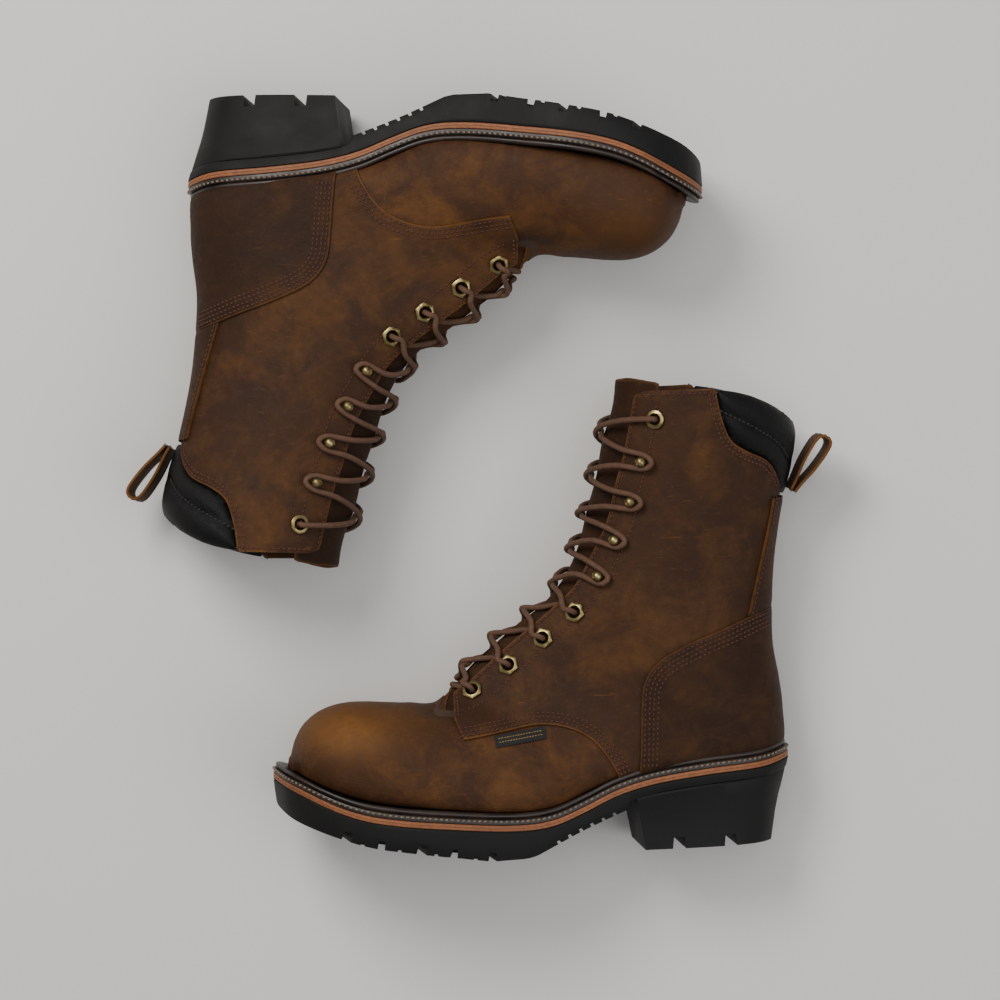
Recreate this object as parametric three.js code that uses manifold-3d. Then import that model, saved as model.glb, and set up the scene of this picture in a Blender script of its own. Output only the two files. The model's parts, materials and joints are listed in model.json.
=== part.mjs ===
// A pair of lace-up logger boots lying on their sides, sole to sole outwards.
// Each boot is drawn in its own frame: +X to the toe, +Y to its outer side, +Z up from the ground,
// with the origin at the back lower corner of the heel. All sizes are millimetres.
import * as THREE from "three";
import { mergeVertices } from "three/addons/utils/BufferGeometryUtils.js";
import { ConvexHull } from "three/addons/math/ConvexHull.js";
import Module from "manifold-3d";

const wasm = await Module();
wasm.setup();

// ---- Driving dimensions ----
const SOLE_LENGTH = 317; // heel back to toe tip
const SHAFT_HEIGHT = 280; // ground to the top line of the quarters
const SOLE_WIDTH = 109; // across the ball
const DRAWN = { length: 317, height: 280, width: 109 }; // the size that the outlines below are drawn at

const GAP = 0.3; // between neighbours
const LEATHER = 1.9;
const STAY_THICKNESS = 1.5;
const PADDING_THICKNESS = 4.2;
const TOE_CAP_THICKNESS = 2;
const LINING_THICKNESS = 2;
const TONGUE_THICKNESS = 2.8;
const PAD_BULGE = 3.2; // collar pad, outwards from the quarters
const TAB_THICKNESS = 1;
const WELT_RIB = 2.6;
const WELT_THICKNESS = 3.9;
const RIB_INSET = 3;
const MIDSOLE_THICKNESS = 3.6;
const BOARD_THICKNESS = 3;
const FOOTBED_THICKNESS = 5.4;
const HEEL_SEAT = 6; // outsole thickness above the heel block
const SHANK = { width: 16, thickness: 1.9, from: 55, to: 165 };
const LUG_DEPTH = 5;
const LUG_GROOVE = 6;
const LUG_AT = [178, 200, 222, 244, 266];
const ARCH_NOTCH = 2.2;
const ARCH_NOTCH_AT = [100, 107, 114, 121, 128, 135];
const HEEL_NOTCH = { width: 9, depth: 7, at: [25, 57] };
const HEEL_TAPER = 4.5; // each side, seat to tread
const LACE_RADIUS = 1.5;
const EYELET = { hole: 3.5, barrel: 4.4, flange: 5.7, thickness: 1.1 };
const TOP_EYELET = { hole: 3.2, barrel: 4.1, flange: 5.2, thickness: 1.1 };
const LIFT = 0.8; // a flat flange over the curved leather
const WASHER_DROP = 1.7; // a flat washer under it
const HOOK = { base: 3.4, plate: 0.8, neck: 1.6, ball: 3.25, rise: 6.2, lean: 2.6 };
const STAY_STRIP = { front: 3, rear: 16 };
const BACKSTAY_FOOT = 16; // how far forward the backstay's foot reaches over the counter
const STRAP = 2.2;
const LOOP_WIDTH = 22;
const LOOP_LENGTH = 38;
const LOOP_HALF = 5.8; // half the ring's depth, strap to strap
const LOOP_FOOT = [-20.2, 215.5]; // where it is sewn on, in side view
const LOOP_LEAN = THREE.MathUtils.degToRad(125);
const ORIGIN = new THREE.Vector2();
const PAIR_SPACING = { across: -346, along: 454 }; // heel corner to heel corner
const LEFT_TURN = THREE.MathUtils.degToRad(2.2);
const RIGHT_TURN = THREE.MathUtils.degToRad(-1.1);

const RING_SEGMENTS = 12;
const PLAN_STEPS = 30;
const LACE_SIDES = 4;
const PIN_SEGMENTS = 6;
const BAND_STEPS = 6;
const FAR = 400; // past every outline

// ---- Frame of the drawing ----
const lengthScale = SOLE_LENGTH / DRAWN.length;
const heightScale = SHAFT_HEIGHT / DRAWN.height;
const widthScale = SOLE_WIDTH / DRAWN.width;
const side = (x, z) => new THREE.Vector2(x * lengthScale, z * heightScale);
const smooth = (pairs, count) =>
  new THREE.SplineCurve(pairs.map(([x, z]) => side(x, z))).getPoints(count);
const straight = (pairs) => pairs.map(([x, z]) => side(x, z));

// Sections of the upper, from the collar down the shaft and along the foot to the toe.
// Each is a flat ring seen edge-on from the side: front x, z; back x, z; half width; sideways shift of
// its middle; share of the way to the back where it is widest; roundness of its front and back halves.
const SECTIONS = [
  [95, 292, -22, 272, 47, 0, 0.5, 1.8, 2.2],
  [99, 270, -20, 248, 45, 0, 0.5, 1.8, 2.2],
  [106, 246, -15, 224, 42, 0, 0.5, 1.8, 2.2],
  [113, 218, -9.5, 199, 39, 0, 0.5, 1.8, 2.2],
  [121, 192, -5, 172, 37, 0, 0.5, 1.8, 2.2],
  [130, 171, -3, 147, 36, 0, 0.5, 1.8, 2.2],
  [142, 157, -2.6, 121, 36, 0, 0.55, 1.8, 2.2],
  [158, 146, -6, 98, 35.5, 0, 0.6, 1.8, 2.2],
  [172, 135, -7.5, 80, 35, 0, 0.65, 1.8, 2.3],
  [184, 125, -6, 57, 34.5, 0, 0.68, 1.8, 2.5],
  [195, 113, 14, 42.5, 34.5, 0, 0.68, 1.9, 2.6],
  [203, 103, 55, 39.5, 36, 0.5, 0.66, 2, 2.6],
  [211, 98, 98, 32, 40, 1.5, 0.62, 2.1, 2.6],
  [221, 96, 132, 18, 44, 2, 0.6, 2.2, 2.6],
  [233, 96.5, 165, 14.5, 47, 2, 0.6, 2.2, 2.6],
  [246, 97.5, 198, 17, 49, 1.5, 0.6, 2.2, 2.6],
  [258, 97.5, 226, 21.5, 48.5, 1, 0.6, 2.2, 2.6],
  [269, 95.5, 248, 26, 46, 0, 0.6, 2.2, 2.6],
  [279, 91, 265, 31.5, 42, -1.5, 0.6, 2.2, 2.5],
  [287.5, 83.5, 277, 35.5, 36, -3, 0.6, 2.2, 2.4],
  [293, 74, 285.5, 40, 27, -4, 0.55, 2.2, 2.3],
  [296, 64.5, 291, 45, 14, -4.5, 0.5, 2.2, 2.2],
].map(([fx, fz, bx, bz, half, shift, ...form]) => [
  fx * lengthScale,
  fz * heightScale,
  bx * lengthScale,
  bz * heightScale,
  half * widthScale,
  shift,
  ...form,
]);
const LAST_SECTION = SECTIONS.length - 1;

// Outlines of the pieces in side view.
const WELT_TOP = smooth(
  [
    [-30, 65], [-7, 60.8], [10, 57.8], [43, 55.4], [75, 51.2], [98, 45.3], [120, 35.8],
    [139, 29.2], [161, 27.7], [196, 30.9], [254, 39.2], [294, 56], [318, 69],
  ],
  18,
);
const TREAD = smooth([[92, 26], [98, 23.6], [120, 14.7], [136, 7.5], [150, 1.2]], 6)
  .concat(straight([[156, 0], [178, 0]]))
  .concat(smooth([[197, 3.4], [228, 8.4], [255, 13.6], [288, 25.3], [301.5, 33.1], [308, 42]], 8));
const HEEL_BACK = smooth([[-9.8, 43], [-8.6, 38.5], [-3.9, 21.8], [0, 0]], 6);
const HEEL_BREAST = straight([[82.5, 0], [87.4, 30]]);
const FACING = smooth(
  [
    [194.7, 100.4], [181.9, 109.1], [164.4, 124.2], [149.8, 135.9], [129.6, 152.2], [118.1, 163.9],
    [107.6, 182.7], [98.3, 202.2], [92.9, 223.6], [86.9, 243.9], [80.2, 276.6],
  ],
  10,
);
const VAMP_SEAM = smooth(
  [
    [191.8, 74], [179.6, 75.4], [158.1, 78.8], [145.8, 80.2], [133.7, 79.1], [121.6, 75],
    [112.7, 69.1], [105.7, 60.9], [100.5, 52.2], [95, 40],
  ],
  9,
);
const COLLAR_EDGE = smooth(
  [
    [-11.4, 212.6], [-9.8, 220], [-5.3, 228.7], [1.2, 235.1], [12.6, 240.4], [20.9, 245.6],
    [25.6, 251.9], [29.9, 265.5], [32.4, 279.6],
  ],
  9,
);
const PAD_TOP = smooth(
  [[30.6, 278.4], [9.6, 274], [-11.7, 263.5], [-22.1, 254.5], [-26, 246]],
  8,
);
const COUNTER_EDGE = smooth(
  [
    [-2.6, 144], [12.2, 139.7], [30.8, 133.1], [46.3, 127.6], [64.9, 119.1], [74.4, 111.6],
    [80.3, 101.4], [82, 89.3], [83.4, 68], [85.4, 44],
  ],
  10,
);
const BACKSTAY_EDGE = smooth([[-4, 211], [-1, 195.8], [6, 168.6], [13.5, 142]], 4);
const VAMP_BACK = smooth(
  [[186, 80.5], [176, 80], [160, 84], [146, 86], [132, 85], [116, 80], [103, 71], [94, 58], [89, 40]],
  7,
);
const HOLES = [
  [183.5, 101.2], [160.9, 115.6], [139.6, 131.2], [120, 146.3],
  [102.1, 167.2], [91.5, 189.2], [81.4, 212.2], [74.4, 236.5],
  [68.5, 262.1],
].map(([x, z]) => side(x, z));
const EYELET_HOLES = HOLES.slice(0, 4);
const HOOK_HOLES = HOLES.slice(4, 8);
const TOP_HOLE = HOLES[8];

// The sole's outline seen from above: heel, outer side, toe, inner side.
const SOLE_PLAN = [
  [-12, 0], [-9, 14], [2, 27], [20, 34.5], [45, 37], [80, 36.5], [120, 38], [160, 46],
  [200, 54], [228, 56], [255, 53], [280, 43], [297, 27], [304, 8], [305, -5],
  [302, -20], [292, -34], [272, -47], [245, -53], [220, -53], [190, -46], [150, -36],
  [120, -33.5], [80, -35], [45, -36], [20, -33], [2, -26], [-9, -13],
];

// ---- Solids ----
const mix = THREE.MathUtils.lerp;

function solid(geometry) {
  geometry.deleteAttribute("normal");
  geometry.deleteAttribute("uv");
  const merged = mergeVertices(geometry, 1e-4);
  const made = new wasm.Manifold(
    new wasm.Mesh({
      numProp: 3,
      vertProperties: merged.attributes.position.array,
      triVerts: new Uint32Array(merged.index.array),
    }),
  );
  return made;
}

function toGeometry(manifold) {
  const made = manifold.getMesh();
  const geometry = new THREE.BufferGeometry();
  geometry.setAttribute("position", new THREE.BufferAttribute(new Float32Array(made.vertProperties), 3));
  geometry.setIndex(new THREE.BufferAttribute(new Uint32Array(made.triVerts), 1));
  geometry.computeVertexNormals();
  return geometry;
}

// A closed solid through rings of equal point counts, with a fan over each end.
function loft(rings) {
  const count = rings[0].length;
  const positions = rings.flat().flatMap((p) => [p.x, p.y, p.z]);
  const triangles = [];
  for (let i = 0; i + 1 < rings.length; i++) {
    for (let j = 0; j < count; j++) {
      const a = i * count + j;
      const b = i * count + ((j + 1) % count);
      triangles.push(a, a + count, b, b, a + count, b + count);
    }
  }
  for (const [ring, order] of [[0, 1], [rings.length - 1, -1]]) {
    const middle = new THREE.Vector3();
    rings[ring].forEach((p) => middle.addScaledVector(p, 1 / count));
    const centre = positions.length / 3;
    positions.push(middle.x, middle.y, middle.z);
    for (let j = 0; j < count; j++) {
      const edge = [ring * count + j, ring * count + ((j + 1) % count)];
      if (order < 0) edge.reverse();
      triangles.push(centre, edge[0], edge[1]);
    }
  }
  const geometry = new THREE.BufferGeometry();
  geometry.setAttribute("position", new THREE.Float32BufferAttribute(positions, 3));
  geometry.setIndex(triangles);
  const made = solid(geometry);
  if (made.volume() > 0) return made;
  for (let i = 0; i < triangles.length; i += 3) {
    [triangles[i + 1], triangles[i + 2]] = [triangles[i + 2], triangles[i + 1]];
  }
  geometry.setIndex(triangles);
  return solid(geometry);
}

// The side-view outline carried across the boot from y0 to y1.
function prism(outline, y0 = -FAR, y1 = FAR) {
  const shape = new THREE.Shape(outline);
  const geometry = new THREE.ExtrudeGeometry(shape, { depth: y1 - y0, bevelEnabled: false });
  geometry.rotateX(Math.PI / 2);
  geometry.translate(0, y1, 0);
  return solid(geometry);
}

// All that lies between two lengths and two heights, the full width across.
const span = (from, to, low = -FAR, high = FAR) =>
  prism([
    new THREE.Vector2(from, low),
    new THREE.Vector2(to, low),
    new THREE.Vector2(to, high),
    new THREE.Vector2(from, high),
  ]);

// The slab between two heights above a side-view line, the full width across.
function strip(line, low, high, y0, y1) {
  const shifted = (dz) => line.map((p) => new THREE.Vector2(p.x, p.y + dz));
  return prism([...shifted(low), ...shifted(high).reverse()], y0, y1);
}

const aboveWelt = strip(WELT_TOP, GAP, FAR);
const outerHalf = prism(straight([[-FAR, -FAR], [FAR, -FAR], [FAR, FAR], [-FAR, FAR]]), GAP / 2, FAR);
const innerHalf = prism(straight([[-FAR, -FAR], [FAR, -FAR], [FAR, FAR], [-FAR, FAR]]), -FAR, -GAP / 2);
const halfOf = (sign) => (sign > 0 ? outerHalf : innerHalf);

// ---- Skin of the upper ----
function sectionAt(t) {
  const i = THREE.MathUtils.clamp(Math.floor(t), 0, LAST_SECTION - 1);
  const f = t - i;
  const row = (k) => SECTIONS[THREE.MathUtils.clamp(k, 0, LAST_SECTION)];
  const [a, b, c, d] = [row(i - 1), row(i), row(i + 1), row(i + 2)];
  return b.map((v, k) => {
    const bend = 2 * a[k] - 5 * v + 4 * c[k] - d[k] + f * (3 * v - 3 * c[k] + d[k] - a[k]);
    return v + 0.5 * f * (c[k] - a[k] + f * bend);
  });
}

function skinPoint(t, angle) {
  const [fx, fz, bx, bz, half, shift, widest, front, back] = sectionAt(t);
  const across = Math.sin(angle);
  const along = Math.cos(angle);
  const power = 2 / (along >= 0 ? front : back);
  const y = Math.sign(across) * half * Math.abs(across) ** power;
  const reach = Math.abs(along) ** power;
  const share = along >= 0 ? widest * (1 - reach) : widest + (1 - widest) * reach;
  return new THREE.Vector3(mix(fx, bx, share), shift + y, mix(fz, bz, share));
}

function skinNormal(t, angle) {
  const [dt, da] = [0.2, 0.12];
  const low = Math.max(0, t - dt);
  const high = Math.min(LAST_SECTION, t + dt);
  const along = skinPoint(high, angle).sub(skinPoint(low, angle));
  const around = skinPoint(t, angle + da).sub(skinPoint(t, angle - da));
  return along.cross(around).normalize();
}

const skinOffset = (t, angle, offset) => skinPoint(t, angle).addScaledVector(skinNormal(t, angle), offset);

// Where the layers' rings lie, in sections: closest where the ankle and the toe bend.
const CORE_RINGS = [0, 2, 4, 5.5, 7, 8.5, 9.5, 11, 13, 15.5, 18, 19.5, LAST_SECTION];
const cores = new Map();
function core(offset) {
  if (!cores.has(offset)) {
    const angles = Array.from({ length: RING_SEGMENTS }, (_, j) => (j * 2 * Math.PI) / RING_SEGMENTS);
    const rings = CORE_RINGS.map((t) => angles.map((angle) => skinOffset(t, angle, offset)));
    cores.set(offset, loft(rings));
  }
  return cores.get(offset);
}

// A leather panel: the layer between two depths of the skin, inside a side-view outline.
const panel = (outside, inside, outline) =>
  core(outside).subtract(core(inside)).intersect(prism(outline)).intersect(aboveWelt);

// The section and angle where the skin passes a side-view point, on the outer (+1) or inner (-1) side.
function findOnSkin(point, sign) {
  const sideOf = (t) => {
    const [fx, fz, bx, bz] = sectionAt(t);
    return (bx - fx) * (point.y - fz) - (bz - fz) * (point.x - fx);
  };
  let [low, high] = [0, LAST_SECTION];
  for (let i = 0; i < 40; i++) {
    const middle = (low + high) / 2;
    if (sideOf(middle) * sideOf(low) > 0) low = middle;
    else high = middle;
  }
  const [fx, fz, bx, bz, , , widest, front, back] = sectionAt(low);
  const length2 = (bx - fx) ** 2 + (bz - fz) ** 2;
  const raw = ((point.x - fx) * (bx - fx) + (point.y - fz) * (bz - fz)) / length2;
  const share = THREE.MathUtils.clamp(raw, 0, 1);
  const angle =
    share <= widest
      ? Math.acos((1 - share / widest) ** (front / 2))
      : Math.PI - Math.acos(((share - widest) / (1 - widest)) ** (back / 2));
  return { t: low, angle: sign * angle };
}

// A frame on the skin: Y out of it, X towards the facing edge, seen from either side.
function frameOnSkin(point, sign) {
  const { t, angle } = findOnSkin(point, sign);
  const out = skinNormal(t, angle);
  const front = skinPoint(t, angle - sign * 0.15).sub(skinPoint(t, angle)).normalize();
  const up = new THREE.Vector3().crossVectors(out, front).multiplyScalar(-sign);
  const matrix = new THREE.Matrix4().makeBasis(front, out, new THREE.Vector3().crossVectors(front, out));
  matrix.setPosition(skinPoint(t, angle));
  return { t, angle, out, front, up, matrix };
}

function turned(profile, segments, matrix) {
  const points = profile.map(([r, y]) => new THREE.Vector2(r, y));
  return solid(new THREE.LatheGeometry(points, segments).applyMatrix4(matrix));
}

const pin = (radius, from, to, matrix, segments = PIN_SEGMENTS) =>
  turned([[0, from], [radius, from], [radius, to], [0, to]], segments, matrix);

// ---- Depths of the layers, from the skin (0) inwards ----
const QUARTER_IN = -LEATHER;
const BACKING_OUT = QUARTER_IN - GAP;
const STAY_IN = BACKING_OUT - STAY_THICKNESS;
const VAMP_IN = BACKING_OUT - LEATHER;
const BARREL_IN = STAY_IN - 1.1; // turned over behind the stay
const CAP_OUT = VAMP_IN - GAP;
const CAP_IN = CAP_OUT - TOE_CAP_THICKNESS;
const PADDING_IN = BACKING_OUT - PADDING_THICKNESS;
const LINING_OUT = Math.min(PADDING_IN, CAP_IN) - GAP;
const LINING_IN = LINING_OUT - LINING_THICKNESS;
const INSIDE = LINING_IN - GAP;
const TONGUE_IN = INSIDE - TONGUE_THICKNESS;
const LACE_UNDER = (STAY_IN + INSIDE) / 2;
const LACE_CROSS = INSIDE + 3 * GAP + LACE_RADIUS;
const LACE_OVER = LACE_CROSS + 2 * LACE_RADIUS + GAP;
const LACE_TOP = GAP + LACE_RADIUS;

// ---- Sole ----
function planPoints(inset) {
  const scaled = SOLE_PLAN.map(([x, y]) => new THREE.Vector3(x * lengthScale, y * widthScale, 0));
  const curve = new THREE.CatmullRomCurve3(scaled, true);
  return Array.from({ length: PLAN_STEPS }, (_, i) => {
    const p = curve.getPoint(i / PLAN_STEPS);
    const tangent = curve.getTangent(i / PLAN_STEPS);
    return new THREE.Vector2(p.x + tangent.y * inset, p.y - tangent.x * inset);
  });
}

// The sole's plan outline, moved inwards by the inset and carried up and down.
function planSolid(inset = 0) {
  const shape = new THREE.Shape(planPoints(inset));
  const geometry = new THREE.ExtrudeGeometry(shape, { depth: FAR, bevelEnabled: false });
  geometry.translate(0, 0, -FAR / 2);
  return solid(geometry);
}

const weltLow = -WELT_RIB - WELT_THICKNESS;
const midsoleTop = weltLow - GAP;
const midsoleLow = midsoleTop - MIDSOLE_THICKNESS;
const outsoleTop = midsoleLow - GAP;
const shankLow = -GAP - SHANK.thickness;
const plan = planSolid();

function makeWelt() {
  const [from, to] = [SHANK.from * lengthScale - GAP, SHANK.to * lengthScale + GAP];
  const half = SHANK.width / 2 + GAP;
  const slot = strip(WELT_TOP, shankLow - GAP, 1, -half, half).intersect(span(from, to));
  const plate = strip(WELT_TOP, weltLow, -WELT_RIB).intersect(plan);
  const rib = strip(WELT_TOP, weltLow, 0).intersect(planSolid(RIB_INSET));
  return plate.add(rib).subtract(slot);
}

function makeShank() {
  const [from, to] = [SHANK.from * lengthScale, SHANK.to * lengthScale];
  const half = SHANK.width / 2;
  return strip(WELT_TOP, shankLow, -GAP, -half, half).intersect(span(from, to));
}

const makeMidsole = () => strip(WELT_TOP, midsoleLow, midsoleTop).intersect(plan);

// The line that the heel seat of the outsole ends on, above the heel block.
const HEEL_SEAT_LINE = WELT_TOP.filter((p) => p.x < 96 * lengthScale).map(
  (p) => new THREE.Vector2(p.x, p.y + outsoleTop - HEEL_SEAT),
);

function groove(at, width, depth) {
  const near = TREAD.reduce((a, b) => (Math.abs(b.x - at) < Math.abs(a.x - at) ? b : a));
  return span(at - width / 2, at + width / 2, near.y - FAR, near.y + depth);
}

function makeOutsole() {
  const top = WELT_TOP.map((p) => new THREE.Vector2(p.x, p.y + outsoleTop));
  let body = prism([...HEEL_SEAT_LINE, ...TREAD, side(318, 50), ...top.reverse()]).intersect(plan);
  for (const x of LUG_AT) body = body.subtract(groove(x * lengthScale, LUG_GROOVE, LUG_DEPTH));
  for (const x of ARCH_NOTCH_AT) body = body.subtract(groove(x * lengthScale, ARCH_NOTCH, ARCH_NOTCH));
  return body;
}

function makeHeel() {
  const seat = HEEL_SEAT_LINE.map((p) => new THREE.Vector2(p.x, p.y - GAP));
  const underSeat = seat.filter((p) => p.x > HEEL_BACK[0].x && p.x < HEEL_BREAST[1].x - 1);
  const profile = prism([...HEEL_BACK, ...HEEL_BREAST, ...underSeat.reverse()]);
  const seatHeight = 50 * heightScale;
  const ring = (z, taper) => planPoints(taper).map((p) => new THREE.Vector3(p.x, p.y, z));
  const tapered = loft([ring(-1, HEEL_TAPER), ring(seatHeight, 0), ring(seatHeight + 40, 0)]);
  let body = profile.intersect(tapered);
  for (const x of HEEL_NOTCH.at) {
    const [from, to] = [x * lengthScale, x * lengthScale + HEEL_NOTCH.width];
    body = body.subtract(span(from, to, -FAR, HEEL_NOTCH.depth));
  }
  return body;
}

function makeBoard() {
  return core(INSIDE).intersect(strip(WELT_TOP, GAP, GAP + BOARD_THICKNESS));
}

function makeFootbed() {
  const low = 2 * GAP + BOARD_THICKNESS;
  return core(INSIDE - GAP).intersect(strip(WELT_TOP, low, low + FOOTBED_THICKNESS));
}

// ---- Upper ----
const LOW = straight([[86, -40], [-60, -40]]);
const quarterOutline = [
  ...VAMP_SEAM,
  ...LOW,
  side(-60, 212.6),
  ...COLLAR_EDGE,
  side(74.5, 279.5),
  ...[...FACING].reverse(),
  side(196.2, 86.4),
];

function hardwareHoles(sign) {
  const holes = EYELET_HOLES.map((p) => pin(EYELET.barrel + GAP, -6, 3, frameOnSkin(p, sign).matrix));
  HOOK_HOLES.forEach((p) => holes.push(pin(HOOK.neck + GAP, -6, 3, frameOnSkin(p, sign).matrix)));
  holes.push(pin(TOP_EYELET.barrel + GAP, -6, 3, frameOnSkin(TOP_HOLE, sign).matrix));
  return holes;
}

function makeQuarter(sign) {
  let body = panel(0, QUARTER_IN, quarterOutline).intersect(halfOf(sign));
  for (const hole of hardwareHoles(sign)) body = body.subtract(hole);
  return body;
}

const makeVamp = () =>
  panel(BACKING_OUT, VAMP_IN, [
    ...straight([[89, -40], [FAR, -40], [FAR, 140], [199, 140], [199, 97]]),
    ...VAMP_BACK,
  ]);

const makeToeCap = () => panel(CAP_OUT, CAP_IN, straight([[243, -40], [FAR, -40], [FAR, 140], [236, 140]]));

const counterOutline = [side(-60, 145), ...COUNTER_EDGE, ...LOW];
const makeCounter = () => panel(GAP + LEATHER, GAP, counterOutline);

function makeStiffener() {
  const inner = COUNTER_EDGE.map((p) => new THREE.Vector2(p.x - 4, p.y - 2));
  return panel(BACKING_OUT, PADDING_IN, [side(-60, 143), ...inner, ...straight([[78, -40], [-60, -40]])]);
}

const makeBackstay = () => {
  const behind = COUNTER_EDGE.filter((p) => p.x < BACKSTAY_FOOT * lengthScale);
  const above = behind.map((p) => new THREE.Vector2(p.x, p.y + GAP));
  return panel(GAP + LEATHER, GAP, [
    side(-60, 211),
    side(-60, 145.5),
    ...above,
    ...[...BACKSTAY_EDGE].reverse(),
  ]);
};

// A band that follows the facing edge between two shares of its length.
function facingBand(from, to, front, rear) {
  const curve = new THREE.SplineCurve(FACING);
  const shift = (u, distance) => {
    const tangent = curve.getTangent(u);
    const p = curve.getPoint(u);
    return new THREE.Vector2(p.x - tangent.y * distance, p.y + tangent.x * distance);
  };
  const steps = Array.from({ length: BAND_STEPS }, (_, i) => mix(from, to, i / (BAND_STEPS - 1)));
  return [...steps.map((u) => shift(u, front)), ...steps.reverse().map((u) => shift(u, rear))];
}

// The share of the facing edge's length that lies nearest to a point.
function facingShare(point) {
  const curve = new THREE.SplineCurve(FACING);
  const shares = Array.from({ length: 101 }, (_, i) => i / 100);
  const distance = (share) => curve.getPoint(share).distanceTo(point);
  return shares.reduce((a, b) => (distance(b) < distance(a) ? b : a));
}

const rowSplit = (below, above) => (facingShare(below) + facingShare(above)) / 2;
const EYELETS_END = rowSplit(HOLES[3], HOLES[4]);
const HOOKS_END = rowSplit(HOLES[7], HOLES[8]);
const ROW_GAP = 0.004; // between the two stays, as a share of the facing edge

const backOfFacing = (distance) => facingBand(0, 1, distance, distance).slice(0, BAND_STEPS);

const makePadding = (sign) =>
  panel(BACKING_OUT, PADDING_IN, [
    ...straight([[-60, 147], [12, 143], [47, 131], [66, 122.5], [80, 116], [104, 112]]),
    ...backOfFacing(STAY_STRIP.rear + 3).filter((p) => p.y > 120 * heightScale && p.y < 268 * heightScale),
    ...straight([[37, 270], [26, 244], [2, 230], [-8, 214], [-60, 210]]),
  ]).intersect(halfOf(sign));

function makeLining() {
  const edge = backOfFacing(STAY_STRIP.rear + 2).reverse();
  const top = PAD_TOP.map((p) => new THREE.Vector2(p.x, p.y - 4));
  return panel(LINING_OUT, LINING_IN, [
    ...straight([[FAR, -40], [FAR, 140], [205, 140], [205, 96], [176, 92]]).reverse(),
    side(-60, -40),
    ...top.reverse().map((p, i) => (i === 0 ? new THREE.Vector2(-60, p.y) : p)),
    ...edge,
  ].reverse());
}

const makeTongue = () =>
  core(INSIDE)
    .subtract(core(TONGUE_IN))
    .intersect(
      prism([
        ...straight([[FAR, 292], [FAR, 96], [213, 96], [206, 92]]),
        ...backOfFacing(13).map((p) => p.clone()),
        ...straight([[70, 284], [84, 287]]),
      ]),
    );

function makePad() {
  const clear = COLLAR_EDGE.slice(0, -1).map((p) => new THREE.Vector2(p.x - GAP, p.y + GAP));
  return panel(PAD_BULGE, PADDING_IN, [side(-60, 213.2), ...clear, ...PAD_TOP, side(-60, 240)]);
}

const TAB_OUTLINE = straight([[172, 68.5], [172.8, 75.2], [141.5, 79], [140.6, 72.2]]);
const makeTab = () => panel(-LEATHER + TAB_THICKNESS, -LEATHER, TAB_OUTLINE).intersect(outerHalf);

function eyeletSolid(size, frame) {
  return turned(
    [[0, BARREL_IN], [size.barrel, BARREL_IN], [size.barrel, LIFT], [size.flange, LIFT],
      [size.flange, LIFT + size.thickness], [0, LIFT + size.thickness]],
    PIN_SEGMENTS,
    frame,
  );
}

// The stay behind the holes, between two shares of the facing edge.
function stay(from, to, sign) {
  const band = facingBand(from, to, STAY_STRIP.front, STAY_STRIP.rear);
  return panel(BACKING_OUT, STAY_IN, band).intersect(halfOf(sign));
}

function makeEyeletRow(sign) {
  let body = stay(0, EYELETS_END - ROW_GAP, sign);
  for (const point of EYELET_HOLES) body = body.add(eyeletSolid(EYELET, frameOnSkin(point, sign).matrix));
  for (const point of EYELET_HOLES) {
    body = body.subtract(pin(EYELET.hole, -12, 6, frameOnSkin(point, sign).matrix));
  }
  return body;
}

function hookSolid(frame) {
  const stem = pin(HOOK.neck, STAY_IN, HOOK.rise, frame);
  const plate = pin(HOOK.base, LIFT, LIFT + HOOK.plate, frame);
  const ball = new THREE.SphereGeometry(HOOK.ball, 6, 4);
  ball.translate(HOOK.lean, HOOK.rise, 0);
  return stem.add(plate).add(solid(ball.applyMatrix4(frame)));
}

function makeHookRow(sign) {
  let body = stay(EYELETS_END + ROW_GAP, HOOKS_END, sign);
  for (const point of HOOK_HOLES) body = body.add(hookSolid(frameOnSkin(point, sign).matrix));
  return body;
}

function makeTopEyelet(sign) {
  const frame = frameOnSkin(TOP_HOLE, sign).matrix;
  const washer = pin(TOP_EYELET.flange, BARREL_IN, BACKING_OUT - WASHER_DROP, frame);
  return eyeletSolid(TOP_EYELET, frame).add(washer).subtract(pin(TOP_EYELET.hole, -12, 6, frame));
}

// The strap's side view: a long ring, drawn along its own length from where it is sewn on.
function makeLoop() {
  const place = ([u, v]) => side(...LOOP_FOOT).add(new THREE.Vector2(u, v).rotateAround(ORIGIN, LOOP_LEAN));
  const bow = (tip, half) => [
    [tip - 8, -half], [tip - 2.5, -half * 0.72], [tip, 0], [tip - 2.5, half * 0.72], [tip - 8, half],
  ];
  const low = [[-4, -1.6], [6, -3.4], [17, -5.2]];
  const high = low.map(([u, v]) => [u, -v]).reverse();
  const outer = [...low, ...bow(LOOP_LENGTH, LOOP_HALF), ...high];
  const gap = [[12, 0], [18, -2.8], ...bow(LOOP_LENGTH - STRAP, LOOP_HALF - STRAP), [18, 2.8]];
  const shape = new THREE.Shape(outer.map(place));
  shape.holes.push(new THREE.Path(gap.map(place)));
  const geometry = new THREE.ExtrudeGeometry(shape, { depth: LOOP_WIDTH, bevelEnabled: false });
  geometry.rotateX(Math.PI / 2);
  geometry.translate(0, LOOP_WIDTH / 2, 0);
  return solid(geometry);
}

// ---- Lace ----
// Its steps follow the points it is given, so that they lie closer together round the hooks.
class LacePath extends THREE.CatmullRomCurve3 {
  getSpacedPoints(count) {
    return this.getPoints(count);
  }
  getPointAt(u, target) {
    return this.getPoint(u, target);
  }
  getTangentAt(u, target) {
    return this.getTangent(u, target);
  }
}

function laceNear(frame, front, up, out) {
  const foot = new THREE.Vector3().setFromMatrixPosition(frame.matrix);
  return foot
    .addScaledVector(frame.front, front)
    .addScaledVector(frame.up, up)
    .addScaledVector(frame.out, out);
}

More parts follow.
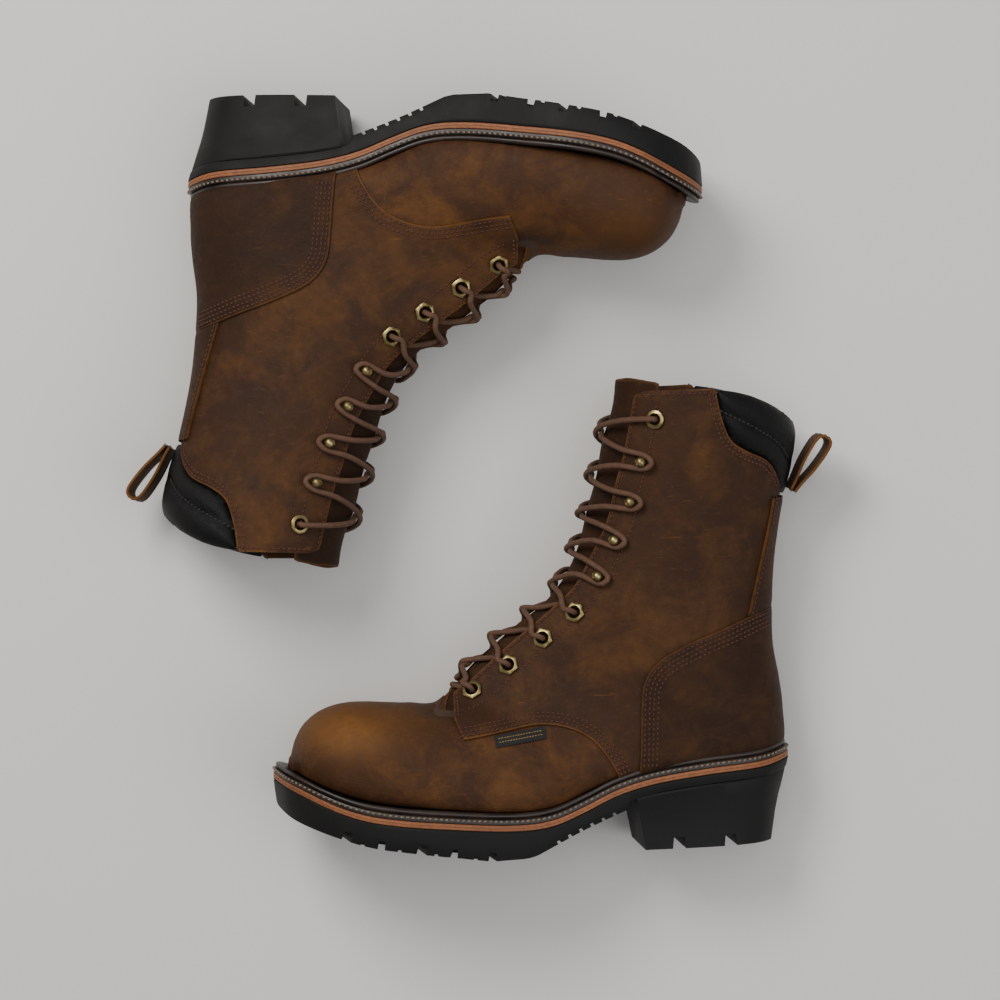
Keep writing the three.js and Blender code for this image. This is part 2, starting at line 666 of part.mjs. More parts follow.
// A point over the facing edge, a little way along it from a hole.
function overEdge(hole, sign, along, offset) {
  const curve = new THREE.SplineCurve(FACING);
  const share = THREE.MathUtils.clamp(facingShare(hole) + along / curve.getLength(), 0, 1);
  const tangent = curve.getTangent(share);
  const point = curve.getPoint(share).add(new THREE.Vector2(tangent.y, -tangent.x));
  const { t, angle } = findOnSkin(point, sign);
  return { t, angle, at: skinOffset(t, angle, offset) };
}

const FLANGE_TOP = LIFT + EYELET.thickness;
const LACE_ON_FLANGE = FLANGE_TOP + 2 * GAP + LACE_RADIUS;
const LACE_ON_PLATE = LIFT + HOOK.plate + 2 * GAP + LACE_RADIUS;
const HOOK_WRAP = HOOK.neck + LACE_RADIUS + 1;
const LACE_EDGE = LACE_TOP + 0.8;

function throughEyelet(frame) {
  return [
    laceNear(frame, 6.5, 0.8, LACE_ON_FLANGE + GAP),
    laceNear(frame, 2, 0.2, LACE_ON_FLANGE + 0.8),
    laceNear(frame, 0, 0, FLANGE_TOP),
    laceNear(frame, 0.2, 0, BARREL_IN),
    laceNear(frame, 3.2, -0.6, LACE_UNDER - 0.4),
  ];
}

const roundHook = (frame) => [
  laceNear(frame, 1, HOOK_WRAP, LACE_ON_PLATE),
  laceNear(frame, -HOOK_WRAP, 0, LACE_ON_PLATE),
  laceNear(frame, 1, -HOOK_WRAP, LACE_ON_PLATE),
];

// The points of one strand, from its top eyelet down to the lowest pair.
function strand(startSign, startOver) {
  const points = [];
  let sign = startSign;
  let over = startOver;
  for (let level = HOLES.length - 1; level >= 0; level--) {
    const hole = HOLES[level];
    const frame = frameOnSkin(hole, sign);
    const isHook = HOOK_HOLES.includes(hole);
    const isTop = hole === TOP_HOLE;
    const arrive = overEdge(hole, sign, isHook ? 5 : 2, LACE_EDGE);
    const leave = overEdge(hole, sign, isHook ? -5 : -3, isHook || isTop ? LACE_EDGE : LACE_UNDER - 0.4);
    if (!isTop) points.push(arrive.at);
    if (isHook) points.push(...roundHook(frame));
    else if (isTop) points.push(...throughEyelet(frame).slice(1).reverse());
    else points.push(...throughEyelet(frame));
    points.push(leave.at);
    if (level > 0) {
      const next = overEdge(HOLES[level - 1], -sign, 5, LACE_EDGE);
      const leaving = isHook || isTop ? mix(LACE_CROSS, LACE_EDGE, 0.5) : LACE_UNDER;
      points.push(skinOffset(mix(leave.t, next.t, 0.25), leave.angle * 0.5, leaving));
      points.push(skinOffset(mix(leave.t, next.t, 0.5), 0, over ? LACE_OVER : LACE_CROSS));
      points.push(skinOffset(mix(leave.t, next.t, 0.75), next.angle * 0.5, mix(LACE_CROSS, LACE_EDGE, 0.5)));
    }
    sign = -sign;
    over = !over;
  }
  return points;
}

function makeLace() {
  const down = strand(1, true);
  const up = strand(-1, false).reverse();
  const lowest = frameOnSkin(HOLES[0], 1);
  const bar = skinOffset(lowest.t, 0, LACE_CROSS);
  const path = new LacePath([...down, bar, ...up], false, "catmullrom", 0.5);
  const section = new THREE.Shape(
    Array.from({ length: LACE_SIDES }, (_, i) => {
      const turn = (i * 2 * Math.PI) / LACE_SIDES;
      return new THREE.Vector2(Math.cos(turn), Math.sin(turn)).multiplyScalar(LACE_RADIUS);
    }),
  );
  const geometry = new THREE.ExtrudeGeometry(section, {
    steps: path.points.length - 1,
    extrudePath: path,
    bevelEnabled: false,
  });
  return solid(geometry);
}

// ---- Materials ----
const material = (color, roughness, metalness = 0) =>
  new THREE.MeshStandardMaterial({ color, roughness, metalness });
const oiled = () => material(0x5a3f2b, 0.62);
const edgeLeather = () => material(0x8a5a34, 0.6);
const rubber = () => material(0x1d1d1c, 0.8);
const brass = () => material(0x9c8a58, 0.35, 1);
const steel = () => material(0x8d9094, 0.4, 1);
const blackPad = () => material(0x1b1a19, 0.55);
const foam = () => material(0x3a3836, 0.95);
const liningCloth = () => material(0x6b5138, 0.9);

const PIECES = {
  outsole: [makeOutsole(), rubber],
  heel_block: [makeHeel(), rubber],
  midsole: [makeMidsole(), edgeLeather],
  welt: [makeWelt(), () => material(0x33241c, 0.45)],
  shank: [makeShank(), steel],
  insole_board: [makeBoard(), () => material(0x9a7a55, 0.85)],
  footbed: [makeFootbed(), foam],
  toe_cap: [makeToeCap(), steel],
  vamp: [makeVamp(), oiled],
  quarter_outer: [makeQuarter(1), oiled],
  quarter_inner: [makeQuarter(-1), oiled],
  counter_cover: [makeCounter(), oiled],
  heel_stiffener: [makeStiffener(), () => material(0xb59b78, 0.8)],
  padding_outer: [makePadding(1), foam],
  padding_inner: [makePadding(-1), foam],
  lining: [makeLining(), liningCloth],
  backstay: [makeBackstay(), oiled],
  pull_loop: [makeLoop(), oiled],
  collar_pad: [makePad(), blackPad],
  tongue: [makeTongue(), oiled],
  lace: [makeLace(), () => material(0x5c3d29, 0.8)],
  label_tab: [makeTab(), blackPad],
  outer_eyelet_row: [makeEyeletRow(1), brass],
  inner_eyelet_row: [makeEyeletRow(-1), brass],
  outer_hook_row: [makeHookRow(1), brass],
  inner_hook_row: [makeHookRow(-1), brass],
  outer_top_eyelet: [makeTopEyelet(1), brass],
  inner_top_eyelet: [makeTopEyelet(-1), brass],
};
const GEOMETRY = Object.fromEntries(Object.entries(PIECES).map(([name, [made]]) => [name, toGeometry(made)]));

// ---- Placing the pair ----
function makeBoot(prefix) {
  const boot = new THREE.Group();
  for (const [name, [, makeMaterial]] of Object.entries(PIECES)) {
    const mesh = new THREE.Mesh(GEOMETRY[name], makeMaterial());
    mesh.name = `${prefix}_${name}`;
    boot.add(mesh);
  }
  return boot;
}

// The turn that lays a boot down on the broad face of its hull that looks most nearly that way.
function restingTurn(down) {
  const points = [];
  for (const geometry of Object.values(GEOMETRY)) {
    const position = geometry.getAttribute("position");
    for (let i = 0; i < position.count; i++) {
      points.push(new THREE.Vector3().fromBufferAttribute(position, i));
    }
  }
  const score = (face) => face.area * 1e-4 + face.normal.dot(down);
  const faces = new ConvexHull().setFromPoints(points).faces;
  const best = faces.reduce((a, b) => (score(b) > score(a) ? b : a));
  return new THREE.Quaternion().setFromUnitVectors(best.normal, down);
}

function lay(prefix, mirrored) {
  const down = new THREE.Vector3(0, mirrored ? 1 : -1, 0);
  const boot = makeBoot(prefix);
  boot.quaternion.copy(restingTurn(down));
  const placed = new THREE.Group();
  // Columns: where the boot's X, Y and Z point in the pair's frame.
  const basis = new THREE.Matrix4();
  if (mirrored) {
    basis.makeBasis(new THREE.Vector3(1, 0, 0), new THREE.Vector3(0, 0, -1), new THREE.Vector3(0, -1, 0));
  } else {
    basis.makeBasis(new THREE.Vector3(-1, 0, 0), new THREE.Vector3(0, 0, 1), new THREE.Vector3(0, 1, 0));
  }
  placed.matrixAutoUpdate = false;
  placed.matrix.copy(new THREE.Matrix4().makeRotationZ(mirrored ? RIGHT_TURN : LEFT_TURN).multiply(basis));
  placed.add(boot);
  return placed;
}

const pair = new THREE.Group();

// Each boot comes down to the floor, then the pair's box is centred on the origin.
function addToPair(boot, x, y) {
  const holder = new THREE.Group();
  holder.add(boot);
  pair.add(holder);
  holder.updateMatrixWorld(true);
  holder.position.set(x, y, -new THREE.Box3().setFromObject(holder, true).min.z);
}
addToPair(lay("left", false), 0, 0);
addToPair(lay("right", true), PAIR_SPACING.across, PAIR_SPACING.along);
pair.updateMatrixWorld(true);
const box = new THREE.Box3().setFromObject(pair, true);
pair.position.set(-(box.min.x + box.max.x) / 2, -(box.min.y + box.max.y) / 2, 0);

export default pair;
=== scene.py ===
import json
import math

import bmesh
import bpy
import numpy as np
from mathutils import Matrix, Vector
from mathutils.geometry import delaunay_2d_cdt


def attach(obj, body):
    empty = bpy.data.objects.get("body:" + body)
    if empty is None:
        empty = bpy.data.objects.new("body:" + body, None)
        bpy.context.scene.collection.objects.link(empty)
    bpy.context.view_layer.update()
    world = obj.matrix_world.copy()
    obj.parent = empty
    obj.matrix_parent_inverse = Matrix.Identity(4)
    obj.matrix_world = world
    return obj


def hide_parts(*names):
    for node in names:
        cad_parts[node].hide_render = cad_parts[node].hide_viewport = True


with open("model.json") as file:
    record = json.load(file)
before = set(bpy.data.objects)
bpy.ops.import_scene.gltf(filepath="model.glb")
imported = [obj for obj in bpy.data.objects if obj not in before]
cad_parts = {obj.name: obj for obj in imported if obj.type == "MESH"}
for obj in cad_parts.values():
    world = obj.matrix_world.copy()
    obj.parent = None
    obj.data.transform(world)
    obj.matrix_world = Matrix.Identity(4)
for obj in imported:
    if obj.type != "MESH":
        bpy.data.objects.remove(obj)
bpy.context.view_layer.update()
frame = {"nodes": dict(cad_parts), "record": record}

bl_info = {
    "name": "Lace-up leather boots",
    "version": (1, 0, 0),
    "blender": (4, 5, 0),
    "location": "View3D > Sidebar > Boots",
    "description": "Builds a pair of tall lace-up leather work boots lying on their sides",
    "category": "Object",
}

MM = 0.001

# Each boot is drawn in its own frame, in millimetres: X to the toe, Y to its outer side, Z up from the
# ground.
# Rows of the upper, from the top line to the toe: front x, z; back x, z; half width; shift; where it is
# widest;
# how square the front and the back are.
SECTIONS = np.array([
    [95, 292, -22, 272, 47, 0, 0.5, 1.8, 2.2],
    [99, 270, -20, 248, 45, 0, 0.5, 1.8, 2.2],
    [106, 246, -15, 224, 42, 0, 0.5, 1.8, 2.2],
    [113, 218, -9.5, 199, 39, 0, 0.5, 1.8, 2.2],
    [121, 192, -5, 172, 37, 0, 0.5, 1.8, 2.2],
    [130, 171, -3, 147, 36, 0, 0.5, 1.8, 2.2],
    [142, 157, -2.6, 121, 36, 0, 0.55, 1.8, 2.2],
    [158, 146, -6, 98, 35.5, 0, 0.6, 1.8, 2.2],
    [172, 135, -7.5, 80, 35, 0, 0.65, 1.8, 2.3],
    [184, 125, -6, 57, 34.5, 0, 0.68, 1.8, 2.5],
    [195, 113, 14, 42.5, 34.5, 0, 0.68, 1.9, 2.6],
    [203, 103, 55, 39.5, 36, 0.5, 0.66, 2, 2.6],
    [211, 98, 98, 32, 40, 1.5, 0.62, 2.1, 2.6],
    [221, 96, 132, 18, 44, 2, 0.6, 2.2, 2.6],
    [233, 96.5, 165, 14.5, 47, 2, 0.6, 2.2, 2.6],
    [246, 97.5, 198, 17, 49, 1.5, 0.6, 2.2, 2.6],
    [258, 97.5, 226, 21.5, 48.5, 1, 0.6, 2.2, 2.6],
    [269, 95.5, 248, 26, 46, 0, 0.6, 2.2, 2.6],
    [279, 91, 265, 31.5, 42, -1.5, 0.6, 2.2, 2.5],
    [287.5, 83.5, 277, 35.5, 36, -3, 0.6, 2.2, 2.4],
    [293, 74, 285.5, 40, 27, -4, 0.55, 2.2, 2.3],
    [296, 64.5, 291, 45, 14, -4.5, 0.5, 2.2, 2.2],
])
LAST = len(SECTIONS) - 1
SECTION_STEP = 15.0  # about how far apart the rows lie
TURN_LENGTH = 40.0  # about how far one radian round the upper is

# Depths of the layers, from the skin of the upper (0) inwards.
LEATHER = 1.9
GAP = 0.3
QUARTER_IN = -LEATHER
BACKING = QUARTER_IN - GAP
STAY_IN = BACKING - 1.5
VAMP_IN = BACKING - LEATHER
LINING_OUT = -6.7
LINING_IN = -8.7
TONGUE_OUT = LINING_IN - GAP
TONGUE_IN = TONGUE_OUT - 2.8
BARREL_IN = STAY_IN - 1.1

HOLES = [
    (183.5, 101.2), (160.9, 115.6), (139.6, 131.2), (120, 146.3),
    (102.1, 167.2), (91.5, 189.2), (81.4, 212.2), (74.4, 236.5),
    (68.5, 262.1),
]
EYELET_HOLES = HOLES[:4]
HOOK_HOLES = HOLES[4:8]
TOP_HOLE = HOLES[8]

SOLE_PLAN = [
    (-12, 0), (-9, 14), (2, 27), (20, 34.5), (45, 37), (80, 36.5), (120, 38), (160, 46),
    (200, 54), (228, 56), (255, 53), (280, 43), (297, 27), (304, 8), (305, -5),
    (302, -20), (292, -34), (272, -47), (245, -53), (220, -53), (190, -46), (150, -36),
    (120, -33.5), (80, -35), (45, -36), (20, -33), (2, -26), (-9, -13),
]


# ---- Curves in side view ----
def spline(points, count, closed=False):
    """Points along a smooth curve through the given ones, at even steps between them."""
    pts = np.array(points, float)
    total = len(pts) if closed else len(pts) - 1
    out = []
    for k in range(count + (0 if closed else 1)):
        u = k * total / count
        i = min(int(u), total - 1)
        f = u - i

        def at(j):
            if closed:
                return pts[j % len(pts)]
            return pts[min(max(j, 0), len(pts) - 1)]

        a, b, c, d = at(i - 1), at(i), at(i + 1), at(i + 2)
        out.append(0.5 * (2 * b + (c - a) * f + (2 * a - 5 * b + 4 * c - d) * f * f
                          + (3 * b - 3 * c + d - a) * f * f * f))
    return np.array(out)


def spread(points, step, closed=False):
    """The same line with a point at every step along it."""
    pts = np.array(points, float)
    if closed:
        pts = np.vstack([pts, pts[:1]])
    lengths = np.linalg.norm(np.diff(pts, axis=0), axis=1)
    along = np.concatenate([[0], np.cumsum(lengths)])
    count = max(2, int(round(along[-1] / step)))
    where = np.linspace(0, along[-1], count + 1)
    if closed:
        where = where[:-1]
    return np.stack([np.interp(where, along, pts[:, k]) for k in range(pts.shape[1])], axis=1)


WELT_TOP = spline([
    (-30, 65), (-7, 60.8), (10, 57.8), (43, 55.4), (75, 51.2), (98, 45.3), (120, 35.8),
    (139, 29.2), (161, 27.7), (196, 30.9), (254, 39.2), (294, 56), (318, 69)], 120)
TREAD = np.vstack([
    spline([(92, 26), (98, 23.6), (120, 14.7), (136, 7.5), (150, 1.2)], 24),
    [(156, 0), (178, 0)],
    spline([(197, 3.4), (228, 8.4), (255, 13.6), (288, 25.3), (301.5, 33.1), (308, 42)], 30)])
HEEL_BACK = spline([(-9.8, 43), (-8.6, 38.5), (-3.9, 21.8), (0, 0)], 24)[::-1]
FACING = spline([
    (194.7, 100.4), (181.9, 109.1), (164.4, 124.2), (149.8, 135.9), (129.6, 152.2), (118.1, 163.9),
    (107.6, 182.7), (98.3, 202.2), (92.9, 223.6), (86.9, 243.9), (80.2, 276.6)], 60)
VAMP_SEAM = spline([
    (191.8, 74), (179.6, 75.4), (158.1, 78.8), (145.8, 80.2), (133.7, 79.1), (121.6, 75),
    (112.7, 69.1), (105.7, 60.9), (100.5, 52.2), (95, 40)], 60)
COLLAR_EDGE = spline([
    (-11.4, 212.6), (-9.8, 220), (-5.3, 228.7), (1.2, 235.1), (12.6, 240.4), (20.9, 245.6),
    (25.6, 251.9), (29.9, 265.5), (32.4, 279.6)], 48)
PAD_TOP = spline([(30.6, 278.4), (9.6, 274), (-11.7, 263.5), (-22.1, 254.5), (-26, 246)], 32)
PAD_CHANNEL = spline([(29.5, 266), (19, 260.5), (7, 254), (-6, 245), (-15, 234), (-20, 224)], 40)
COUNTER_EDGE = spline([
    (-2.6, 144), (12.2, 139.7), (30.8, 133.1), (46.3, 127.6), (64.9, 119.1), (74.4, 111.6),
    (80.3, 101.4), (82, 89.3), (83.4, 68), (85.4, 44)], 60)
BACKSTAY_EDGE = spline([(-4, 211), (-1, 195.8), (6, 168.6), (13.5, 142)], 24)
VAMP_BACK = np.array(
    [(186, 80.5), (176, 80), (160, 84), (146, 86), (132, 85), (116, 80), (103, 71), (94, 58),
     (89, 40)], float)


def headings(points):
    """The unit direction of a run at each of its points."""
    tangent = np.gradient(points, axis=0)
    return tangent / np.maximum(np.linalg.norm(tangent, axis=1), 1e-9)[:, None]


def left_of(tangent):
    """A quarter turn to the left in a plane."""
    return np.stack([-tangent[:, 1], tangent[:, 0]], axis=1)


def beside(loop):
    """The unit direction to the right of a closed outline at each point."""
    tangent = np.roll(loop, -1, axis=0) - np.roll(loop, 1, axis=0)
    tangent /= np.maximum(np.linalg.norm(tangent, axis=1), 1e-9)[:, None]
    return -left_of(tangent)


def bridge(rings, n):
    """The faces between rings of n points, each joined to the next."""
    return [(r * n + k, r * n + (k + 1) % n, (r + 1) * n + (k + 1) % n, (r + 1) * n + k)
            for r in range(rings - 1) for k in range(n)]


def welt_height(x):
    return np.interp(x, WELT_TOP[:, 0], WELT_TOP[:, 1])


def facing_normal():
    return left_of(headings(FACING))


def behind_facing(distance):
    """The facing edge moved back into the leather."""
    return FACING + facing_normal() * distance


# ---- The skin of the upper ----
def section_at(t):
    t = np.asarray(t, float)
    i = np.clip(np.floor(t).astype(int), 0, LAST - 1)
    f = (t - i)[..., None]

    def row(k):
        return SECTIONS[np.clip(k, 0, LAST)]

    a, b, c, d = row(i - 1), row(i), row(i + 1), row(i + 2)
    return b + 0.5 * f * (c - a + f * (2 * a - 5 * b + 4 * c - d + f * (3 * b - 3 * c + d - a)))


def skin(t, angle):
    """Points of the skin. Past the last row the toe closes to a pole."""
    t = np.asarray(t, float)
    angle = np.asarray(angle, float)
    over = np.clip(t - LAST, 0, 1)
    s = section_at(np.clip(t, 0, LAST))
    fx, fz, bx, bz, half, shift, widest, front, back = np.moveaxis(s, -1, 0)
    across, along = np.sin(angle), np.cos(angle)
    power = 2 / np.where(along >= 0, front, back)
    y = np.sign(across) * half * np.abs(across) ** power
    reach = np.abs(along) ** power
    share = np.where(along >= 0, widest * (1 - reach), widest + (1 - widest) * reach)
    p = np.stack([fx + (bx - fx) * share, shift + y, fz + (bz - fz) * share], axis=-1)
    last = SECTIONS[-1]
    middle = np.array([(last[0] + last[2]) / 2, last[5], (last[1] + last[3]) / 2])
    closing = np.cos(over * math.pi / 2)[..., None]
    ahead = (np.sin(over * math.pi / 2) * 3.5)[..., None] * np.array([0.96, 0.0, -0.28])
    return np.where(over[..., None] > 0, middle + (p - middle) * closing + ahead, p)


def skin_normal(t, angle):
    t = np.asarray(t, float)
    steps = 0.2
    low = np.maximum(0, t - steps)
    high = np.minimum(LAST + 0.95, t + steps)
    along = skin(high, angle) - skin(low, angle)
    around = skin(t, np.asarray(angle) + 0.12) - skin(t, np.asarray(angle) - 0.12)
    n = np.cross(along, around)
    return n / np.maximum(np.linalg.norm(n, axis=-1), 1e-9)[..., None]


def skin_at(t, angle, offset):
    return skin(t, angle) + skin_normal(t, angle) * np.asarray(offset)[..., None]


def find(points):
    """The row and the angle where the skin passes each side-view point, on the outer side."""
    p = np.array(points, float).reshape(-1, 2)

    def side_of(t):
        s = section_at(t)
        return (s[:, 2] - s[:, 0]) * (p[:, 1] - s[:, 1]) - (s[:, 3] - s[:, 1]) * (p[:, 0] - s[:, 0])

    low = np.zeros(len(p))
    high = np.full(len(p), float(LAST))
    for _ in range(36):
        middle = (low + high) / 2
        same = side_of(middle) * side_of(low) > 0
        low = np.where(same, middle, low)
        high = np.where(same, high, middle)
    s = section_at(low)
    run = s[:, 2:4] - s[:, 0:2]
    share = np.clip(((p - s[:, 0:2]) * run).sum(1) / (run ** 2).sum(1), 0, 1)
    widest, front, back = s[:, 6], s[:, 7], s[:, 8]
    near = np.arccos(np.clip(1 - share / widest, 0, 1) ** (front / 2))
    far = math.pi - np.arccos(np.clip((share - widest) / (1 - widest), 0, 1) ** (back / 2))
    return np.stack([low, np.where(share <= widest, near, far)], axis=1)


class Spot:
    """A place on the skin: out of it, to the facing edge and up along it."""

    def __init__(self, point, side):
        t, angle = find([point])[0]
        self.t, self.angle = t, side * angle
        self.foot = skin(t, self.angle)
        self.out = skin_normal(t, self.angle)
        ahead = skin(t, self.angle - side * 0.15) - self.foot
        self.front = ahead / np.linalg.norm(ahead)
        self.up = np.cross(self.out, self.front) * -side

    def at(self, front, up, out):
        return self.foot + self.front * front + self.up * up + self.out * out


# ---- The two boots' places ----
class Boot:
    """One boot of the pair: its name, and where its own frame lies."""

    def __init__(self, side_name, hand):
        self.name = side_name
        self.hand = hand
        mounts = {m["name"]: m for m in frame["record"]["mounts"]}
        heel = Vector(mounts[side_name + "_heel_tread"]["pos_m"])
        fore = Vector(mounts[side_name + "_forefoot_tread"]["pos_m"])
        length_axis = (fore - heel).normalized()
        up = -Vector(mounts[side_name + "_heel_tread"]["axis"])
        up = (up - length_axis * up.dot(length_axis)).normalized()
        side_axis = up.cross(length_axis) * hand
        self.turn = np.array([length_axis, side_axis, up]).T
        self.origin = np.array(heel - length_axis * 0.045)

    def place(self, points):
        return np.asarray(points, float) @ self.turn.T * MM + self.origin


BOOTS = (Boot("left", 1), Boot("right", -1))


# ---- Meshes ----
def finish_mesh(bm, name, merge=0.00001, smooth_angle=40):
    """Closes, turns outwards and smooths a mesh, and makes its object."""
    bmesh.ops.remove_doubles(bm, verts=bm.verts, dist=merge)
    bmesh.ops.dissolve_degenerate(bm, edges=bm.edges, dist=1e-7)
    bmesh.ops.recalc_face_normals(bm, faces=bm.faces)
    mesh = bpy.data.meshes.new(name)
    bm.to_mesh(mesh)
    bm.free()
    mesh.shade_smooth()
    mesh.set_sharp_from_angle(angle=math.radians(smooth_angle))
    piece = bpy.data.objects.new(name, mesh)
    bpy.context.scene.collection.objects.link(piece)
    return piece


def mesh_from(verts, faces, name, slots=None, values=None, smooth_angle=40, merge=0.00001):
    """An object from plain lists, with a material slot for each face and values for each point."""
    mesh = bpy.data.meshes.new(name + "_draft")
    mesh.from_pydata([tuple(v) for v in verts], [], [tuple(int(i) for i in f) for f in faces])
    if slots is not None:
        mesh.polygons.foreach_set("material_index", np.asarray(slots, dtype=np.int32))
    for key, data in (values or {}).items():
        layer = mesh.attributes.new(key, "FLOAT", "POINT")
        layer.data.foreach_set("value", np.asarray(data, dtype=np.float32))
    bm = bmesh.new()
    bm.from_mesh(mesh)
    bpy.data.meshes.remove(mesh)
    return finish_mesh(bm, name, merge=merge, smooth_angle=smooth_angle)


def settle(piece, body, materials, nodes=()):
    """Gives a finished piece its materials, the body that it moves with and the nodes that it stands for."""
    piece.data.materials.clear()
    for material in materials:
        piece.data.materials.append(material)
    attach(piece, body)
    if nodes:
        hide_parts(*nodes)
    return piece


def inside_of(points, loop):
    """Which points lie inside a closed line."""
    x, y = points[:, 0], points[:, 1]
    found = np.zeros(len(points), bool)
    a = loop
    b = np.roll(loop, -1, axis=0)
    for (ax, ay), (bx, by) in zip(a, b):
        crosses = (ay > y) != (by > y)
        if crosses.any():
            reach = (bx - ax) * (y - ay) / (by - ay + 1e-12) + ax
            found ^= crosses & (x < reach)
    return found


def gap_to(points, line, closed=True):
    """How far each point lies from a line."""
    a = line if closed else line[:-1]
    b = np.roll(line, -1, axis=0) if closed else line[1:]
    best = np.full(len(points), 1e9)
    for p, q in zip(a, b):
        run = q - p
        size = (run ** 2).sum()
        if size < 1e-12:
            continue
        f = np.clip(((points - p) @ run) / size, 0, 1)
        best = np.minimum(best, np.linalg.norm(points - p - f[:, None] * run, axis=1))
    return best


def fill(loop, spacing, holes=()):
    """Triangles that fill a closed line, about evenly, round its holes."""
    low, high = loop.min(0), loop.max(0)
    xs = np.arange(low[0], high[0] + spacing, spacing)
    ys = np.arange(low[1], high[1] + spacing, spacing * 0.87)
    grid = np.array([(x + (spacing / 2 if j % 2 else 0), y) for j, y in enumerate(ys) for x in xs])
    keep = inside_of(grid, loop) & (gap_to(grid, loop) > spacing * 0.5)
    for hole in holes:
        keep &= ~inside_of(grid, hole) & (gap_to(grid, hole) > spacing * 0.4)
    points = [loop] + list(holes) + [grid[keep]]
    edges, start = [], 0
    for line in points[:-1]:
        edges += [(start + i, start + (i + 1) % len(line)) for i in range(len(line))]
        start += len(line)
    flat = np.vstack(points)
    made = delaunay_2d_cdt([Vector(p) for p in flat], edges, [], 1, 1e-5)
    verts = np.array([tuple(v) for v in made[0]])
    faces = [f for f in made[2]]
    centres = np.array([verts[f].mean(0) for f in (list(f) for f in faces)])
    keep = inside_of(centres, loop)
    for hole in holes:
        keep &= ~inside_of(centres, hole)
    return verts, [list(f) for f, k in zip(faces, keep) if k]


SCALE = np.array([SECTION_STEP, TURN_LENGTH])


def outline_on_skin(outline, tuck=1.2):
    """A closed side-view outline, brought up to the welt, as rows and angles."""
    dense = spread(outline, 1.2, closed=True)
    floor = welt_height(dense[:, 0]) - tuck
    dense[:, 1] = np.maximum(dense[:, 1], floor)
    flat = find(dense)
    flat = flat[np.concatenate([[True], np.linalg.norm(np.diff(flat * SCALE, axis=0), axis=1) > 0.05])]
    return flat


def panel(outline, outside, inside, sides, spacing=2.6, holes=(), relief=None, sink=None,
          wear=None, edge_lines=None, round_edge=0.45):
    """A leather panel between two depths of the skin, joined across the centre line if it has both sides."""
    flat = outline_on_skin(outline)
    loop = spread(flat * SCALE, spacing * 0.8, closed=True)
    centre_a, centre_b = 0.004 * TURN_LENGTH, (math.pi - 0.004) * TURN_LENGTH
    hole_loops = [find(h) * SCALE for h in holes]
    at_toe = (loop[:, 0] > (LAST - 0.02) * SECTION_STEP) & (loop[:, 1] < 1.9 * TURN_LENGTH)
    if at_toe.any():
        loop[at_toe, 0] = (LAST + 1.0) * SECTION_STEP
    verts2, faces = fill(loop, spacing, hole_loops)
    t, angle = verts2[:, 0] / SECTION_STEP, verts2[:, 1] / TURN_LENGTH
    on_centre = (verts2[:, 1] < centre_a) | (verts2[:, 1] > centre_b)
    base = skin(t, angle)
    if edge_lines is None:
        edge = loop[(loop[:, 1] > centre_a) & (loop[:, 1] < centre_b)]
        edge3 = skin(edge[:, 0] / SECTION_STEP, edge[:, 1] / TURN_LENGTH)
    else:
        lines = [spread(line, 1.5) for line in edge_lines]
        edge = np.vstack([find(line) for line in lines])
        edge3 = skin(edge[:, 0], edge[:, 1])
    distance = np.full(len(base), 60.0)
    for block in np.array_split(np.arange(len(base)), max(1, len(base) // 1500)):
        gaps = np.linalg.norm(base[block][:, None, :] - edge3[None], axis=2)
        distance[block] = gaps.min(1)
    boundary = {}
    for f in faces:
        for i in range(len(f)):
            key = tuple(sorted((f[i], f[(i + 1) % len(f)])))
            boundary[key] = boundary.get(key, 0) + 1
    rim = [e for e, n in boundary.items() if n == 1]
    rim_points = np.zeros(len(base), bool)
    for a, b in rim:
        rim_points[a] = rim_points[b] = True
    joined = len(sides) == 2
    if joined:
        rim = [(a, b) for a, b in rim if not (on_centre[a] and on_centre[b])]
    lowered = np.where(rim_points & ~(on_centre & joined), round_edge, 0.0)
    extra = relief(base, distance) if relief else 0.0
    lower = sink(base) if sink else np.zeros(len(base))
    # Strength of the painted highlight at each point, which the leather finish lightens the colour by.
    worn_and_highlit = wear(base) if wear else np.zeros(len(base))
    all_verts, all_faces, slots, edges, painted_highlights = [], [], [], [], []
    for side in sides:
        start = sum(len(v) for v in all_verts)
        count = len(base)
        outer = skin_at(t, side * angle, outside + extra - lowered - lower)
        inner = skin_at(t, side * angle, inside - lower)
        all_verts += [outer, inner]
        edges += [distance, distance]
        painted_highlights += [worn_and_highlit, worn_and_highlit]
        for f in faces:
            all_faces.append([start + i for i in f])
            all_faces.append([start + count + i for i in f][::-1])
            slots += [0, 0]
        for a, b in rim:
            all_faces.append([start + a, start + b, start + count + b, start + count + a])
            slots.append(1)
    values = {"edge": np.concatenate(edges), "wear": np.concatenate(painted_highlights)}
    return np.vstack(all_verts), all_faces, slots, values


def make_panel(boot, part, name=None, **how):
    verts, faces, slots, values = panel(**how)
    name = name or f"{boot.name}_{part}_leather"
    return mesh_from(boot.place(verts), faces, name, slots, values, smooth_angle=50)


